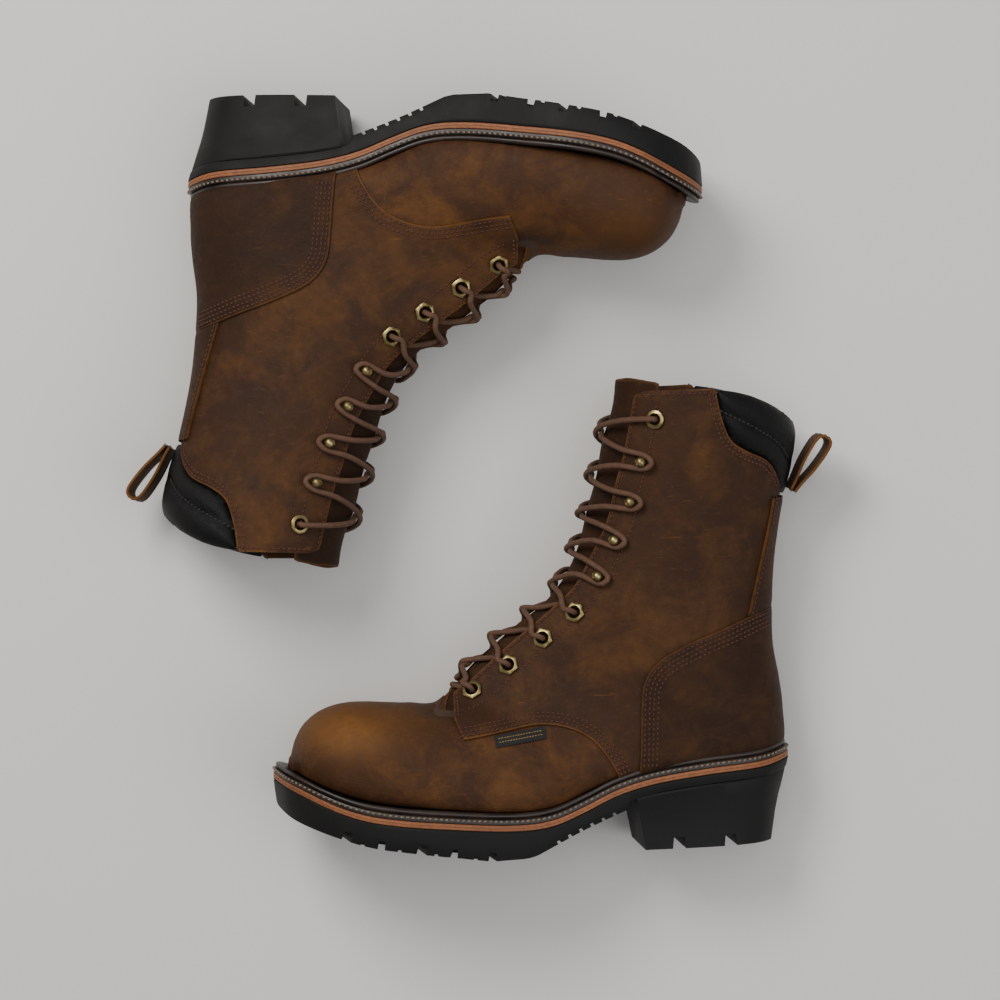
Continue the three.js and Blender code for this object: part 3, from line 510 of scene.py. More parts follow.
def line_on_skin(points, inset, spacing, side, depth, toward):
    """Places at an even pitch beside a side-view line, moved towards a side-view point across it."""
    flat = find(spread(points, 1.0))
    dense = skin(flat[:, 0], side * flat[:, 1])
    tangent = headings(dense)
    normal = skin_normal(flat[:, 0], side * flat[:, 1])
    across = np.cross(normal, tangent)
    aim = np.array(toward, float)
    sign = np.sign((across[:, [0, 2]] * (aim - dense[:, [0, 2]])).sum(1))
    sign = 1.0 if np.median(sign) >= 0 else -1.0
    moved = dense + across * sign * inset
    flat = find(moved[:, [0, 2]])
    flat = flat[(flat[:, 1] > 0.1) & (flat[:, 1] < math.pi - 0.34)]
    if len(flat) < 4:
        return np.zeros((0, 3)), np.zeros((0, 3)), np.zeros((0, 3))
    on_skin = skin(flat[:, 0], side * flat[:, 1])
    run = spread(np.hstack([on_skin, flat]), spacing)
    t, angle = run[:, 3], side * run[:, 4]
    at = skin_at(t, angle, np.full(len(t), float(depth)))
    tangent = headings(at)
    keep = at[:, 2] > welt_height(at[:, 0]) + 0.6
    return at[keep], tangent[keep], skin_normal(t, angle)[keep]


def stitch_shape(length, width, height):
    """One thread of a row: a low arch whose ends go down into the leather."""
    verts, faces = [], []
    ring = 6
    rows = [(-0.5, -0.45), (-0.34, 0.55), (0, 1.0), (0.34, 0.55), (0.5, -0.45)]
    for u, lift in rows:
        for k in range(ring):
            turn = k * 2 * math.pi / ring
            thin = 1.0 if abs(u) < 0.4 else 0.7
            verts.append((u * length, math.cos(turn) * width / 2 * thin,
                          (lift - 0.45) * height + math.sin(turn) * height / 2 * thin))
    for r in range(len(rows) - 1):
        for k in range(ring):
            a, b = r * ring + k, r * ring + (k + 1) % ring
            faces.append((a, b, b + ring, a + ring))
    faces.append(tuple(range(ring))[::-1])
    faces.append(tuple(range((len(rows) - 1) * ring, len(rows) * ring)))
    return np.array(verts), faces


def make_stitches(boot, name, rows, sizes, lean=0.0):
    """All the stitches of some rows as one piece."""
    shape, shape_faces = stitch_shape(*sizes)
    verts, faces = [], []
    for at, tangent, normal in rows:
        for p, x, z in zip(at, tangent, normal):
            y = np.cross(z, x)
            x = x * math.cos(lean) + y * math.sin(lean)
            y = np.cross(z, x)
            start = len(verts) * len(shape)
            verts.append(p + shape @ np.array([x, y, z]))
            faces += [[start + i for i in f] for f in shape_faces]
    if not verts:
        raise RuntimeError(f"{name} has no stitches")
    return mesh_from(boot.place(np.vstack(verts)), faces, name, smooth_angle=70, merge=1e-7)


# ---- Sole ----
def plan_line(count=220, inset=0.0):
    """The sole's outline from above, moved inwards."""
    line = spread(spline(SOLE_PLAN, 400, closed=True), 1.0, closed=True)
    line = spread(line, len(line) / count, closed=True)
    return line + beside(line) * np.asarray(inset).reshape(-1, 1)


def sole_ring(boot, name, profile, count=260):
    """A closed band round the sole: insets from its edge and heights from the welt line."""
    rings = []
    for inset, height in profile:
        line = plan_line(count, inset)
        rings.append(np.column_stack([line, welt_height(line[:, 0]) + height]))
    verts = np.vstack(rings)
    faces = [tuple(i % len(verts) for i in face) for face in bridge(len(rings) + 1, len(rings[0]))]
    return mesh_from(boot.place(verts), faces, name, smooth_angle=45)


def tread_height(x):
    return np.interp(x, TREAD[:, 0], TREAD[:, 1])


def slab(loop, top, bottom, spacing, levels):
    """A closed block on a plan outline. Levels are shares of its height and insets of its wall."""
    middle = loop.mean(0)
    inward = beside(loop)
    if ((middle - loop) * inward).sum() < 0:
        inward = -inward
    rings = []
    for share, inset in levels:
        line = loop + inward * inset
        rings.append(np.column_stack([line, top(line) * (1 - share) + bottom(line) * share]))
    verts, faces = list(np.vstack(rings)), bridge(len(rings), len(loop))
    for ring, height in ((0, top), (len(rings) - 1, bottom)):
        flat, tris = fill(rings[ring][:, :2], spacing)
        start = len(verts)
        verts += list(np.column_stack([flat, height(flat)]))
        faces += [[start + i for i in f] for f in tris]
    return np.array(verts), faces


def select_only(piece):
    bpy.ops.object.select_all(action="DESELECT")
    piece.select_set(True)
    bpy.context.view_layer.objects.active = piece


def cutters(boot, boxes, name):
    """Boxes in the boot's frame: centre, size and turn, joined in one mesh."""
    verts, faces = [], []
    for (cx, cy, cz), (sx, sy, sz), turn, tilt in boxes:
        start = len(verts)
        for dx, dy, dz in ((-1, -1, -1), (1, -1, -1), (1, 1, -1), (-1, 1, -1),
                           (-1, -1, 1), (1, -1, 1), (1, 1, 1), (-1, 1, 1)):
            narrow = 1.0 if dz < 0 else 0.72
            p = Vector((dx * sx / 2 * narrow, dy * sy / 2, dz * sz / 2))
            p.rotate(Matrix.Rotation(tilt, 3, "Y"))
            p.rotate(Matrix.Rotation(turn, 3, "Z"))
            verts.append((p.x + cx, p.y + cy, p.z + cz))
        faces += [[start + i for i in f] for f in
                  ((0, 3, 2, 1), (4, 5, 6, 7), (0, 1, 5, 4), (1, 2, 6, 5), (2, 3, 7, 6), (3, 0, 4, 7))]
    return mesh_from(boot.place(np.array(verts)), faces, name, smooth_angle=20, merge=1e-8)


def carve(piece, tool, bevel):
    """Cuts one mesh with another and softens the new edges."""
    select_only(piece)
    cut = piece.modifiers.new("cut", "BOOLEAN")
    cut.operation = "DIFFERENCE"
    cut.solver = "EXACT"
    cut.use_self = True
    cut.object = tool
    bpy.ops.object.modifier_apply(modifier=cut.name)
    bpy.data.objects.remove(tool)
    soft = piece.modifiers.new("soften", "BEVEL")
    soft.width = bevel * MM
    soft.segments = 2
    soft.limit_method = "ANGLE"
    soft.angle_limit = math.radians(50)
    soft.use_clamp_overlap = True
    bpy.ops.object.modifier_apply(modifier=soft.name)
    bpy.ops.object.shade_smooth_by_angle(angle=math.radians(35))
    if len(piece.data.polygons) < 100:
        raise RuntimeError(f"{piece.name} came out of its cuts empty")
    return piece


# ---- Turned metal ----
def turned(profile, steps=24):
    """A ring or knob turned from its profile, as points and faces."""
    verts, faces = [], []
    for k in range(steps):
        turn = k * 2 * math.pi / steps
        for r, h in profile:
            verts.append((r * math.cos(turn), r * math.sin(turn), h))
    n = len(profile)
    for k in range(steps):
        for j in range(n):
            a, b = k * n + j, k * n + (j + 1) % n
            c, d = ((k + 1) % steps) * n + (j + 1) % n, ((k + 1) % steps) * n + j
            faces.append((a, d, c, b))
    return np.array(verts), faces


def hexagonal(verts, start, round_size, flat_size):
    """Draws the outer part of a ring out to six flats."""
    out = verts.copy()
    r = np.linalg.norm(verts[:, :2], axis=1)
    angle = np.arctan2(verts[:, 1], verts[:, 0])
    wedge = (angle % (math.pi / 3)) - math.pi / 6
    flat = flat_size * math.cos(math.pi / 6) / np.cos(wedge)
    mask = r > start
    share = np.clip((r - start) / (round_size - start), 0, 1)
    factor = np.where(mask, 1 + (flat / round_size - 1) * share, 1)
    out[:, :2] *= factor[:, None]
    return out


def set_in(spots, shape, faces):
    """Copies of a shape standing on the skin at each spot."""
    verts, out = [], []
    for spot in spots:
        start = len(verts) * len(shape)
        side = np.cross(spot.out, spot.front)
        verts.append(spot.foot + shape @ np.array([spot.front, side, spot.out]))
        out += [[start + i for i in f] for f in faces]
    return np.vstack(verts), out


# ---- Tubes ----
def smooth_path(points, per):
    return spline(points, per * (len(points) - 1))


def tube(path, radius, ring, length_scale=1.0):
    """A closed tube along a path, with its own unwrapped map."""
    tangent = headings(path)
    side = np.cross(tangent[0], [0.0, 0.0, 1.0])
    side /= np.linalg.norm(side)
    sides = []
    for k in range(len(path)):
        side = side - tangent[k] * side.dot(tangent[k])
        side /= max(np.linalg.norm(side), 1e-9)
        sides.append(side)
    sides = np.array(sides)
    other = np.cross(tangent, sides)
    turns = np.arange(ring) * 2 * math.pi / ring
    verts = (path[:, None] + radius * (np.cos(turns)[None, :, None] * sides[:, None]
                                       + np.sin(turns)[None, :, None] * other[:, None])).reshape(-1, 3)
    faces, maps = bridge(len(path), ring), []
    along = np.concatenate([[0], np.cumsum(np.linalg.norm(np.diff(path, axis=0), axis=1))]) * length_scale
    for r in range(len(path) - 1):
        for k in range(ring):
            u0, u1, v0, v1 = along[r], along[r + 1], k / ring, (k + 1) / ring
            maps.append(((u0, v0), (u0, v1), (u1, v1), (u1, v0)))
    last = (len(path) - 1) * ring
    faces.append(tuple(range(ring))[::-1])
    maps.append(((0, 0),) * ring)
    faces.append(tuple(range(last, last + ring)))
    maps.append(((0, 0),) * ring)
    return verts, faces, maps


# ---- Lace route ----
LACE_RADIUS = 1.5
LACE_UNDER = (STAY_IN + LINING_IN - GAP) / 2
LACE_CROSS = LINING_IN - GAP + 3 * GAP + LACE_RADIUS
LACE_OVER = LACE_CROSS + 2 * LACE_RADIUS + GAP
LACE_EDGE = GAP + LACE_RADIUS + 0.8
FLANGE_TOP = 1.9
LACE_ON_FLANGE = FLANGE_TOP + 2 * GAP + LACE_RADIUS
LACE_ON_PLATE = 1.6 + 2 * GAP + LACE_RADIUS
HOOK_WRAP = 1.6 + LACE_RADIUS + 1


def over_edge(hole, side, along, offset):
    """A point over the facing edge, a little way along it from a hole."""
    line = spread(FACING, 0.8)
    near = int(np.argmin(np.linalg.norm(line - np.array(hole), axis=1)))
    k = int(np.clip(near + along / 0.8, 1, len(line) - 2))
    run = line[k + 1] - line[k - 1]
    run /= np.linalg.norm(run)
    t, angle = find([line[k] + np.array([run[1], -run[0]])])[0]
    return t, side * angle, skin_at(t, side * angle, float(offset))


def strand(side, over):
    """One strand, from its top eyelet down to the lowest pair."""
    points = []
    for level in range(len(HOLES) - 1, -1, -1):
        hole = HOLES[level]
        spot = Spot(hole, side)
        is_hook, is_top = hole in HOOK_HOLES, hole == TOP_HOLE
        arrive = over_edge(hole, side, 5 if is_hook else 2, LACE_EDGE)
        leave = over_edge(hole, side, -5 if is_hook else -3,
                          LACE_EDGE if is_hook or is_top else LACE_UNDER - 0.4)
        through = [spot.at(6.5, 0.8, LACE_ON_FLANGE + GAP), spot.at(2, 0.2, LACE_ON_FLANGE + 0.8),
                   spot.at(0, 0, FLANGE_TOP), spot.at(0.2, 0, BARREL_IN),
                   spot.at(3.2, -0.6, LACE_UNDER - 0.4)]
        if not is_top:
            points.append(arrive[2])
        if is_hook:
            points += [spot.at(1, HOOK_WRAP, LACE_ON_PLATE), spot.at(-HOOK_WRAP, 0, LACE_ON_PLATE),
                       spot.at(1, -HOOK_WRAP, LACE_ON_PLATE)]
        elif is_top:
            points += through[1:][::-1]
        else:
            points += through
        points.append(leave[2])
        if level > 0:
            onward = over_edge(HOLES[level - 1], -side, 5, LACE_EDGE)
            leaving = (LACE_CROSS + LACE_EDGE) / 2 if is_hook or is_top else LACE_UNDER
            rise = (LACE_CROSS + LACE_EDGE) / 2
            steps = onward[0] - leave[0]
            points.append(skin_at(leave[0] + steps * 0.25, leave[1] * 0.5, leaving))
            points.append(skin_at(leave[0] + steps * 0.5, 0.0, LACE_OVER if over else LACE_CROSS))
            points.append(skin_at(leave[0] + steps * 0.75, onward[1] * 0.5, rise))
        side, over = -side, not over
    return points


def lace_points():
    down = strand(1, True)
    up = strand(-1, False)[::-1]
    lowest = Spot(HOLES[0], 1)
    return np.array(down + [skin_at(lowest.t, 0.0, LACE_CROSS)] + up)


# ---- Shader maths ----
class Wire:
    """An output of a node. Arithmetic on it adds Math nodes."""

    def __init__(self, sheet, socket):
        self.sheet, self.socket = sheet, socket

    def maths(self, operation, *values):
        return self.sheet.node("ShaderNodeMath", {"operation": operation}, list(values))

    def __add__(self, other):
        return self.maths("ADD", self, other)

    def __radd__(self, other):
        return self.maths("ADD", other, self)

    def __sub__(self, other):
        return self.maths("SUBTRACT", self, other)

    def __rsub__(self, other):
        return self.maths("SUBTRACT", other, self)

    def __mul__(self, other):
        return self.maths("MULTIPLY", self, other)

    def __rmul__(self, other):
        return self.maths("MULTIPLY", other, self)


class Finish:
    """A material with its nodes."""

    def __init__(self, name):
        self.material = bpy.data.materials.new(name)
        self.material.use_nodes = True
        self.nodes = self.material.node_tree.nodes
        self.links = self.material.node_tree.links
        self.surface = self.nodes["Principled BSDF"]

    def node(self, kind, settings=None, sockets=None, output=0):
        made = self.nodes.new(kind)
        for key, value in (settings or {}).items():
            if key == "stops":
                ramp = made.color_ramp
                while len(ramp.elements) < len(value):
                    ramp.elements.new(0.5)
                for element, (at, colour) in zip(ramp.elements, value):
                    element.position = at
                    element.color = colour if len(colour) == 4 else (*colour, 1)
            else:
                setattr(made, key, value)
        sockets = sockets or {}
        items = enumerate(sockets) if isinstance(sockets, list) else sockets.items()
        for key, value in items:
            self.put(made.inputs[key], value)
        return Wire(self, made.outputs[output])

    def put(self, socket, value):
        if isinstance(value, Wire):
            self.links.new(value.socket, socket)
        else:
            socket.default_value = value

    def set(self, **values):
        for key, value in values.items():
            self.put(self.surface.inputs[key.replace("_", " ")], value)
        return self

    def coords(self, kind="Object"):
        return self.node("ShaderNodeTexCoord", output=kind)

    def noise(self, scale, detail=4.0, rough=0.55, warp=0.0, coords=None):
        return self.node("ShaderNodeTexNoise", None, {
            "Vector": coords or self.coords(), "Scale": scale, "Detail": detail, "Roughness": rough,
            "Distortion": warp}, output=0)

    def cells(self, scale, feature="F1", coords=None):
        return self.node("ShaderNodeTexVoronoi", {"feature": feature},
                         {"Vector": coords or self.coords(), "Scale": scale}, output="Distance")

    def spread(self, value, low, high, to_low=0.0, to_high=1.0):
        return self.node("ShaderNodeMapRange", {"clamp": True}, {
            "Value": value, "From Min": low, "From Max": high, "To Min": to_low, "To Max": to_high})

    def colours(self, factor, first, second, blend="MIX"):
        return self.node("ShaderNodeMix", {"data_type": "RGBA", "blend_type": blend, "clamp_factor": True},
                         {0: factor, 6: first, 7: second}, output=2)

    def bump(self, height, distance, strength=1.0):
        self.set(Normal=self.node("ShaderNodeBump", None, {
            "Height": height, "Distance": distance, "Strength": strength}, output="Normal"))
        return self


def rgb(red, green, blue, alpha=1.0):
    """A colour from its screen values, 0 to 255."""
    def linear(c):
        c = c / 255
        return c / 12.92 if c <= 0.04045 else ((c + 0.055) / 1.055) ** 2.4
    return (linear(red), linear(green), linear(blue), alpha)


_finishes = {}


def once(make):
    """Keeps one copy of each finish."""
    def fetch(*words):
        key = (make.__name__,) + words
        if key not in _finishes:
            _finishes[key] = make(*words)
        return _finishes[key]
    return fetch


@once
def oiled_leather(name, tone):
    """Pull-up leather: cloudy oil marks, lighter patches of wear, fine grain, a few scuffs and a painted
    highlight where a piece asks for one.
    """
    sizes = bpy.context.scene.boot_finishes
    dark, middle, light = (tuple(c * tone for c in colour[:3]) + (1.0,) for colour in (
        sizes.leather_dark, sizes.leather, sizes.leather_light))
    f = Finish(name)
    cloud = f.noise(34, 6, 0.66, 0.5)
    patch = f.noise(12, 3, 0.5, 0.6)
    fine = f.noise(210, 5, 0.68)
    colour = f.colours(f.spread(cloud, 0.26, 0.74), dark, middle)
    worn_and_highlit = f.spread(patch * 0.5 + cloud * 0.5, 0.48, 0.70)
    colour = f.colours(worn_and_highlit * 0.42, colour, light)
    colour = f.colours(f.spread(fine, 0.42, 0.68, 0.0, 0.34), colour, dark)
    colour = f.colours(f.spread(f.noise(330, 4, 0.7), 0.58, 0.74, 0.0, 0.22), colour, light)
    streak = f.node("ShaderNodeMapping", None, {"Vector": f.coords(), "Rotation": (0.0, 0.0, 0.6),
                                                "Scale": (1.0, 9.0, 1.0)})
    scuff = f.spread(f.noise(55, 3, 0.7, 0.2, streak), 0.66, 0.74)
    colour = f.colours(scuff * 0.4, colour, light)
    edge = f.node("ShaderNodeAttribute", {"attribute_name": "edge"}, output="Fac")
    # Painted highlight: the leather is lightened where a piece gives these point values (the toes of the
    # vamps).
    wear = f.node("ShaderNodeAttribute", {"attribute_name": "wear"}, output="Fac")
    colour = f.colours(wear * f.spread(fine, 0.3, 0.7, 0.55, 1.0), colour, light)
    rim = f.spread(edge, 0.2, 1.7, 1.0, 0.0)
    colour = f.colours(rim * 0.6, colour, light)
    grain = f.cells(820, "DISTANCE_TO_EDGE")
    height = f.spread(grain, 0.0, 0.28) * 0.35 + f.noise(420, 4, 0.6) * 0.5 + cloud * 1.2 + fine * 0.5
    f.set(Base_Color=colour, Roughness=f.spread(fine * 0.5 + cloud * 0.5, 0.35, 0.65, 0.52, 0.72),
          Specular_IOR_Level=0.16)
    f.bump(height, 0.0005, 0.65)
    return f.material


@once
def cut_edge(name):
    """The raw cut edge of a leather piece."""
    f = Finish(name)
    fibre = f.noise(700, 4, 0.6)
    f.set(Base_Color=f.colours(f.spread(fibre, 0.3, 0.7), rgb(112, 70, 30), rgb(164, 108, 48)), Roughness=0.8)
    f.bump(fibre, 0.0003, 0.5)
    return f.material


@once
def sole_rubber(name):
    f = Finish(name)
    dust = f.noise(40, 5, 0.6, 0.3)
    fine = f.noise(900, 3, 0.6)
    colour = f.colours(f.spread(dust, 0.35, 0.7), rgb(10, 10, 9), rgb(20, 19, 17))
    f.set(Base_Color=colour, Roughness=f.spread(dust, 0.3, 0.7, 0.55, 0.72), Specular_IOR_Level=0.25)
    f.bump(fine * 0.7 + dust, 0.0003, 0.5)
    return f.material


@once
def stacked_leather(name):
    """The tan strip between welt and rubber, with its fibres and darker stains."""
    f = Finish(name)
    stretched = f.node("ShaderNodeMapping", None, {"Vector": f.coords(), "Scale": (1.0, 3.0, 3.0)})
    fibre = f.noise(300, 5, 0.65, 0.0, stretched)
    stain = f.noise(35, 3, 0.5)
    colour = f.colours(f.spread(fibre, 0.3, 0.7), rgb(112, 64, 34), rgb(152, 94, 54))
    colour = f.colours(f.spread(stain, 0.45, 0.75, 0.0, 0.5), colour, rgb(96, 56, 34))
    f.set(Base_Color=colour, Roughness=0.62)
    f.bump(fibre, 0.0003, 0.5)
    return f.material


@once
def waxed_welt(name):
    f = Finish(name)
    wax = f.noise(60, 4, 0.55)
    colour = f.colours(f.spread(wax, 0.35, 0.65), rgb(26, 18, 14), rgb(46, 33, 26))
    f.set(Base_Color=colour, Roughness=f.spread(wax, 0.3, 0.7, 0.34, 0.52))
    f.bump(f.noise(600, 4, 0.6) + wax, 0.0002, 0.5)
    return f.material


@once
def antique_brass(name):
    f = Finish(name)
    age = f.noise(240, 5, 0.65, 0.3)
    colour = f.colours(f.spread(age, 0.4, 0.66), rgb(176, 158, 108), rgb(92, 76, 44))
    f.set(Base_Color=colour, Metallic=1.0, Roughness=f.spread(age, 0.35, 0.7, 0.26, 0.5))
    f.bump(f.noise(1500, 3, 0.6), 0.00005, 0.4)
    return f.material


@once
def padded_leather(name):
    """Soft black leather with a fine pebble and creases."""
    f = Finish(name)
    pebble = f.spread(f.cells(900, "DISTANCE_TO_EDGE"), 0.0, 0.3)
    crease = f.noise(120, 5, 0.6, 0.8)
    colour = f.colours(f.spread(crease, 0.35, 0.7), rgb(3, 3, 3), rgb(9, 9, 8))
    f.set(Base_Color=colour, Roughness=f.spread(crease, 0.3, 0.7, 0.46, 0.6), Specular_IOR_Level=0.2)
    f.bump(pebble * 0.5 + crease * 1.6, 0.0004, 0.6)
    return f.material


@once
def woven_cloth(name, dark, light, scale):
    """A plain weave."""
    f = Finish(name)
    waves = [f.node("ShaderNodeTexWave", {"wave_type": "BANDS", "bands_direction": axis},
                    {"Vector": f.coords(), "Scale": scale, "Distortion": 0.4}, output=1) for axis in "XY"]
    weave = waves[0] * 0.5 + waves[1] * 0.5
    wear = f.noise(50, 4, 0.6)
    f.set(Base_Color=f.colours(f.spread(weave * 0.6 + wear * 0.4, 0.25, 0.8), dark, light), Roughness=0.9)
    f.bump(weave, 0.0003, 0.5)
    return f.material


@once
def braided_lace(name):
    """A round braid: two crossing spirals along the cord's own map."""
    f = Finish(name)
    uv = f.coords("UV")
    split = f.nodes.new("ShaderNodeSeparateXYZ")
    f.links.new(uv.socket, split.inputs[0])
    along, around = Wire(f, split.outputs[0]), Wire(f, split.outputs[1])
    one = f.node("ShaderNodeMath", {"operation": "SINE"}, [along * 5.2 + around * 25.133])
    two = f.node("ShaderNodeMath", {"operation": "SINE"}, [along * 5.2 - around * 25.133])
    braid = one.maths("MAXIMUM", one, two)
    tone = f.noise(300, 3, 0.6)
    colour = f.colours(f.spread(braid * 0.25 + tone * 0.7, 0.1, 0.8), rgb(66, 44, 31), rgb(104, 72, 52))
    f.set(Base_Color=colour, Roughness=0.82)
    f.bump(braid, 0.00012, 0.6)
    return f.material


@once
def thread(name, red, green, blue):
    f = Finish(name)
    ply = f.noise(1400, 2, 0.5)
    base, low = rgb(red, green, blue), rgb(red * 0.62, green * 0.6, blue * 0.6)
    f.set(Base_Color=f.colours(f.spread(ply, 0.35, 0.65), low, base), Roughness=0.7)
    f.bump(ply, 0.0001, 0.5)
    return f.material


@once
def plain_stock(name, dark, light, metal, rough):
    """Hidden stock: board, foam and steel."""
    f = Finish(name)
    grain = f.noise(260, 4, 0.6)
    f.set(Base_Color=f.colours(f.spread(grain, 0.3, 0.7), dark, light), Metallic=metal, Roughness=rough)
    f.bump(grain, 0.0002, 0.4)
    return f.material


# ---- Settings a user would change ----
class BootSizes(bpy.types.PropertyGroup):
    stitch_pitch: bpy.props.FloatProperty(
        name="Stitch pitch", description="Distance from one stitch of the upper to the next",
        default=0.0031, min=0.001, unit="LENGTH")
    stitch_length: bpy.props.FloatProperty(
        name="Stitch length", description="Length of one stitch of the upper",
        default=0.0021, min=0.0005, unit="LENGTH")
    stitch_width: bpy.props.FloatProperty(
        name="Thread width", description="Width of the thread on the upper",
        default=0.0010, min=0.0002, unit="LENGTH")
    row_gap: bpy.props.FloatProperty(
        name="Row gap", description="Distance between neighbouring stitch rows",
        default=0.0026, min=0.001, unit="LENGTH")
    welt_pitch: bpy.props.FloatProperty(
        name="Welt pitch", description="Distance from one welt stitch to the next",
        default=0.0034, min=0.001, unit="LENGTH")
    lace_radius: bpy.props.FloatProperty(
        name="Lace radius", description="Half the lace's thickness", default=0.00172,
        min=0.0005, unit="LENGTH")
    pad_crown: bpy.props.FloatProperty(
        name="Collar crown", description="How far the collar pad swells out of its edges",
        default=0.0042, min=0.0, unit="LENGTH")


class BootFinishes(bpy.types.PropertyGroup):
    leather: bpy.props.FloatVectorProperty(
        name="Leather", description="Main colour of the oiled leather", subtype="COLOR",
        size=4, default=rgb(72, 45, 25), min=0, max=1)
    leather_dark: bpy.props.FloatVectorProperty(
        name="Leather, oiled", description="Colour where the oil lies dark", subtype="COLOR",
        size=4, default=rgb(51, 31, 19), min=0, max=1)
    # This colour is also used for the painted toe highlight on the vamps.
    leather_light: bpy.props.FloatVectorProperty(
        name="Leather, worn", description="Colour where it is worn and at its edges", subtype="COLOR",
        size=4, default=rgb(122, 80, 36), min=0, max=1)
    floor: bpy.props.FloatVectorProperty(
        name="Floor", description="Colour of the plain floor", subtype="COLOR",
        size=4, default=rgb(222, 219, 214), min=0, max=1)


def sizes_of(context):
    return context.scene.boot_sizes


def leather_pair(name, tone=1.0):
    return [oiled_leather(name, tone), cut_edge("cut_leather_edge")]


def ring_of(spot_point, radius):
    """A round hole about a side-view point."""
    turns = np.arange(16) * 2 * math.pi / 16
    spot = Spot(spot_point, 1)
    ring = [spot.at(math.cos(a) * radius, math.sin(a) * radius, 0)[[0, 2]] for a in turns]
    return np.array(ring)


QUARTER_OUTLINE = np.vstack([
    VAMP_SEAM, [(86, -40), (-60, -40), (-60, 212.6)], COLLAR_EDGE, [(74.5, 279.5)], FACING[::-1],
    [(196.2, 86.4)]])
COUNTER_OUTLINE = np.vstack([[(-60, 145)], COUNTER_EDGE, [(86, -40), (-60, -40)]])


def stitch_rows(context, line, insets, side, depth, toward):
    pitch = sizes_of(context).stitch_pitch / MM
    return [line_on_skin(line, inset, pitch, side, depth, toward) for inset in insets]


def stitch_size(context):
    s = sizes_of(context)
    return s.stitch_length / MM, s.stitch_width / MM, 0.7


# ---- Operators ----
LOOP_FOOT = (-20.2, 215.5)  # where the pull loop is sewn on, in side view
LOOP_LEAN = math.radians(125)


def on_strap(along, across):
    """A place of the pull loop's own side view, in the boot's side view."""
    return (LOOP_FOOT[0] + along * math.cos(LOOP_LEAN) - across * math.sin(LOOP_LEAN),
            LOOP_FOOT[1] + along * math.sin(LOOP_LEAN) + across * math.cos(LOOP_LEAN))


class BOOTS_OT_quarters(bpy.types.Operator):
    """Cut the side leathers of foot and shaft"""
    bl_idname = "boots.quarters"
    bl_label = "Quarters"

    def execute(self, context):
        holes = [ring_of(p, 4.4) for p in EYELET_HOLES] + [ring_of(TOP_HOLE, 4.1)]
        edges = [VAMP_SEAM, FACING, COLLAR_EDGE, [(196.2, 86.4), (194.7, 100.4)],
                 [(191.8, 74), (196.2, 86.4)], [(32.4, 279.6), (80.2, 276.6)]]
        for boot in BOOTS:
            for side, word in ((1, "outer"), (-1, "inner")):
                made = make_panel(boot, f"{word}_quarter", outline=QUARTER_OUTLINE, outside=0.0,
                                  inside=QUARTER_IN, sides=(side,), holes=holes, edge_lines=edges)
                settle(made, "root", leather_pair("quarter_leather", 0.86),
                       [f"{boot.name}_quarter_{word}"])
        return {"FINISHED"}


class BOOTS_OT_vamp(bpy.types.Operator):
    """Cut the front leather over toe and instep"""
    bl_idname = "boots.vamp"
    bl_label = "Vamp"

    def execute(self, context):
        outline = np.vstack([[(89, -40), (400, -40), (400, 140), (203, 140), (201, 96)], VAMP_BACK])

        def throat(base):
            near = np.clip((222 - base[:, 0]) / 18, 0, 1) * np.clip((base[:, 2] - 84) / 10, 0, 1)
            return 5.2 * near * near * (3 - 2 * near)

        # A painted highlight on the top of the toe, fading out from its middle.
        def toe_wear(base):
            return np.exp(-(((base[:, 0] - 262) / 30) ** 2 + ((base[:, 2] - 84) / 16) ** 2))

        # The painted toe highlight is strong on the left boot and weak on the right one, which lies in shade.
        for boot, amount in zip(BOOTS, (0.85, 0.25)):
            made = make_panel(boot, "vamp", outline=outline, outside=BACKING, inside=VAMP_IN, sides=(1, -1),
                              sink=throat, wear=lambda base, amount=amount: amount * toe_wear(base),
                              edge_lines=[[(202, 110), (201, 96), (186, 80.5)], VAMP_BACK])
            settle(made, "root", leather_pair("vamp_leather", 1.08), [f"{boot.name}_vamp"])
        return {"FINISHED"}


class BOOTS_OT_counter(bpy.types.Operator):
    """Cut the leather over the heel counter"""
    bl_idname = "boots.counter"
    bl_label = "Counter cover"

    def execute(self, context):
        for boot in BOOTS:
            made = make_panel(boot, "counter", outline=COUNTER_OUTLINE, outside=GAP + LEATHER, inside=GAP,
                              sides=(1, -1), edge_lines=[COUNTER_EDGE])
            settle(made, "root", leather_pair("counter_leather", 0.58),
                   [f"{boot.name}_counter_cover"])
        return {"FINISHED"}


class BOOTS_OT_backstay(bpy.types.Operator):
    """Cut the strip up the back seam"""
    bl_idname = "boots.backstay"
    bl_label = "Backstay"

    def execute(self, context):
        foot = COUNTER_EDGE[COUNTER_EDGE[:, 0] < 16] + [0, GAP]
        outline = np.vstack([[(-60, 211), (-60, 145.5)], foot, BACKSTAY_EDGE[::-1]])
        for boot in BOOTS:
            made = make_panel(boot, "backstay", outline=outline, outside=GAP + LEATHER, inside=GAP,
                              sides=(1, -1), spacing=2.0, edge_lines=[BACKSTAY_EDGE])
            settle(made, "root", leather_pair("backstay_leather", 0.66),
                   [f"{boot.name}_backstay"])
        return {"FINISHED"}


class BOOTS_OT_tongue(bpy.types.Operator):
    """Cut the tongue behind the lace"""
    bl_idname = "boots.tongue"
    bl_label = "Tongue"

    def execute(self, context):
        band = behind_facing(13)
        outline = np.vstack([[(232, 292), (232, 96), (213, 96), (206, 92)], band[2:-2],
                             [(70, 284), (84, 287)]])

        def folds(base, distance):
            ripple = np.sin(base[:, 2] * 0.16 + base[:, 0] * 0.05) * np.clip(distance / 6, 0, 1)
            return 0.5 * ripple

        for boot in BOOTS:
            made = make_panel(boot, "tongue", outline=outline, outside=TONGUE_OUT, inside=TONGUE_IN,
                              sides=(1, -1), relief=folds)
            settle(made, f"{boot.name}_tongue", leather_pair("tongue_leather", 0.62),
                   [f"{boot.name}_tongue"])
        return {"FINISHED"}


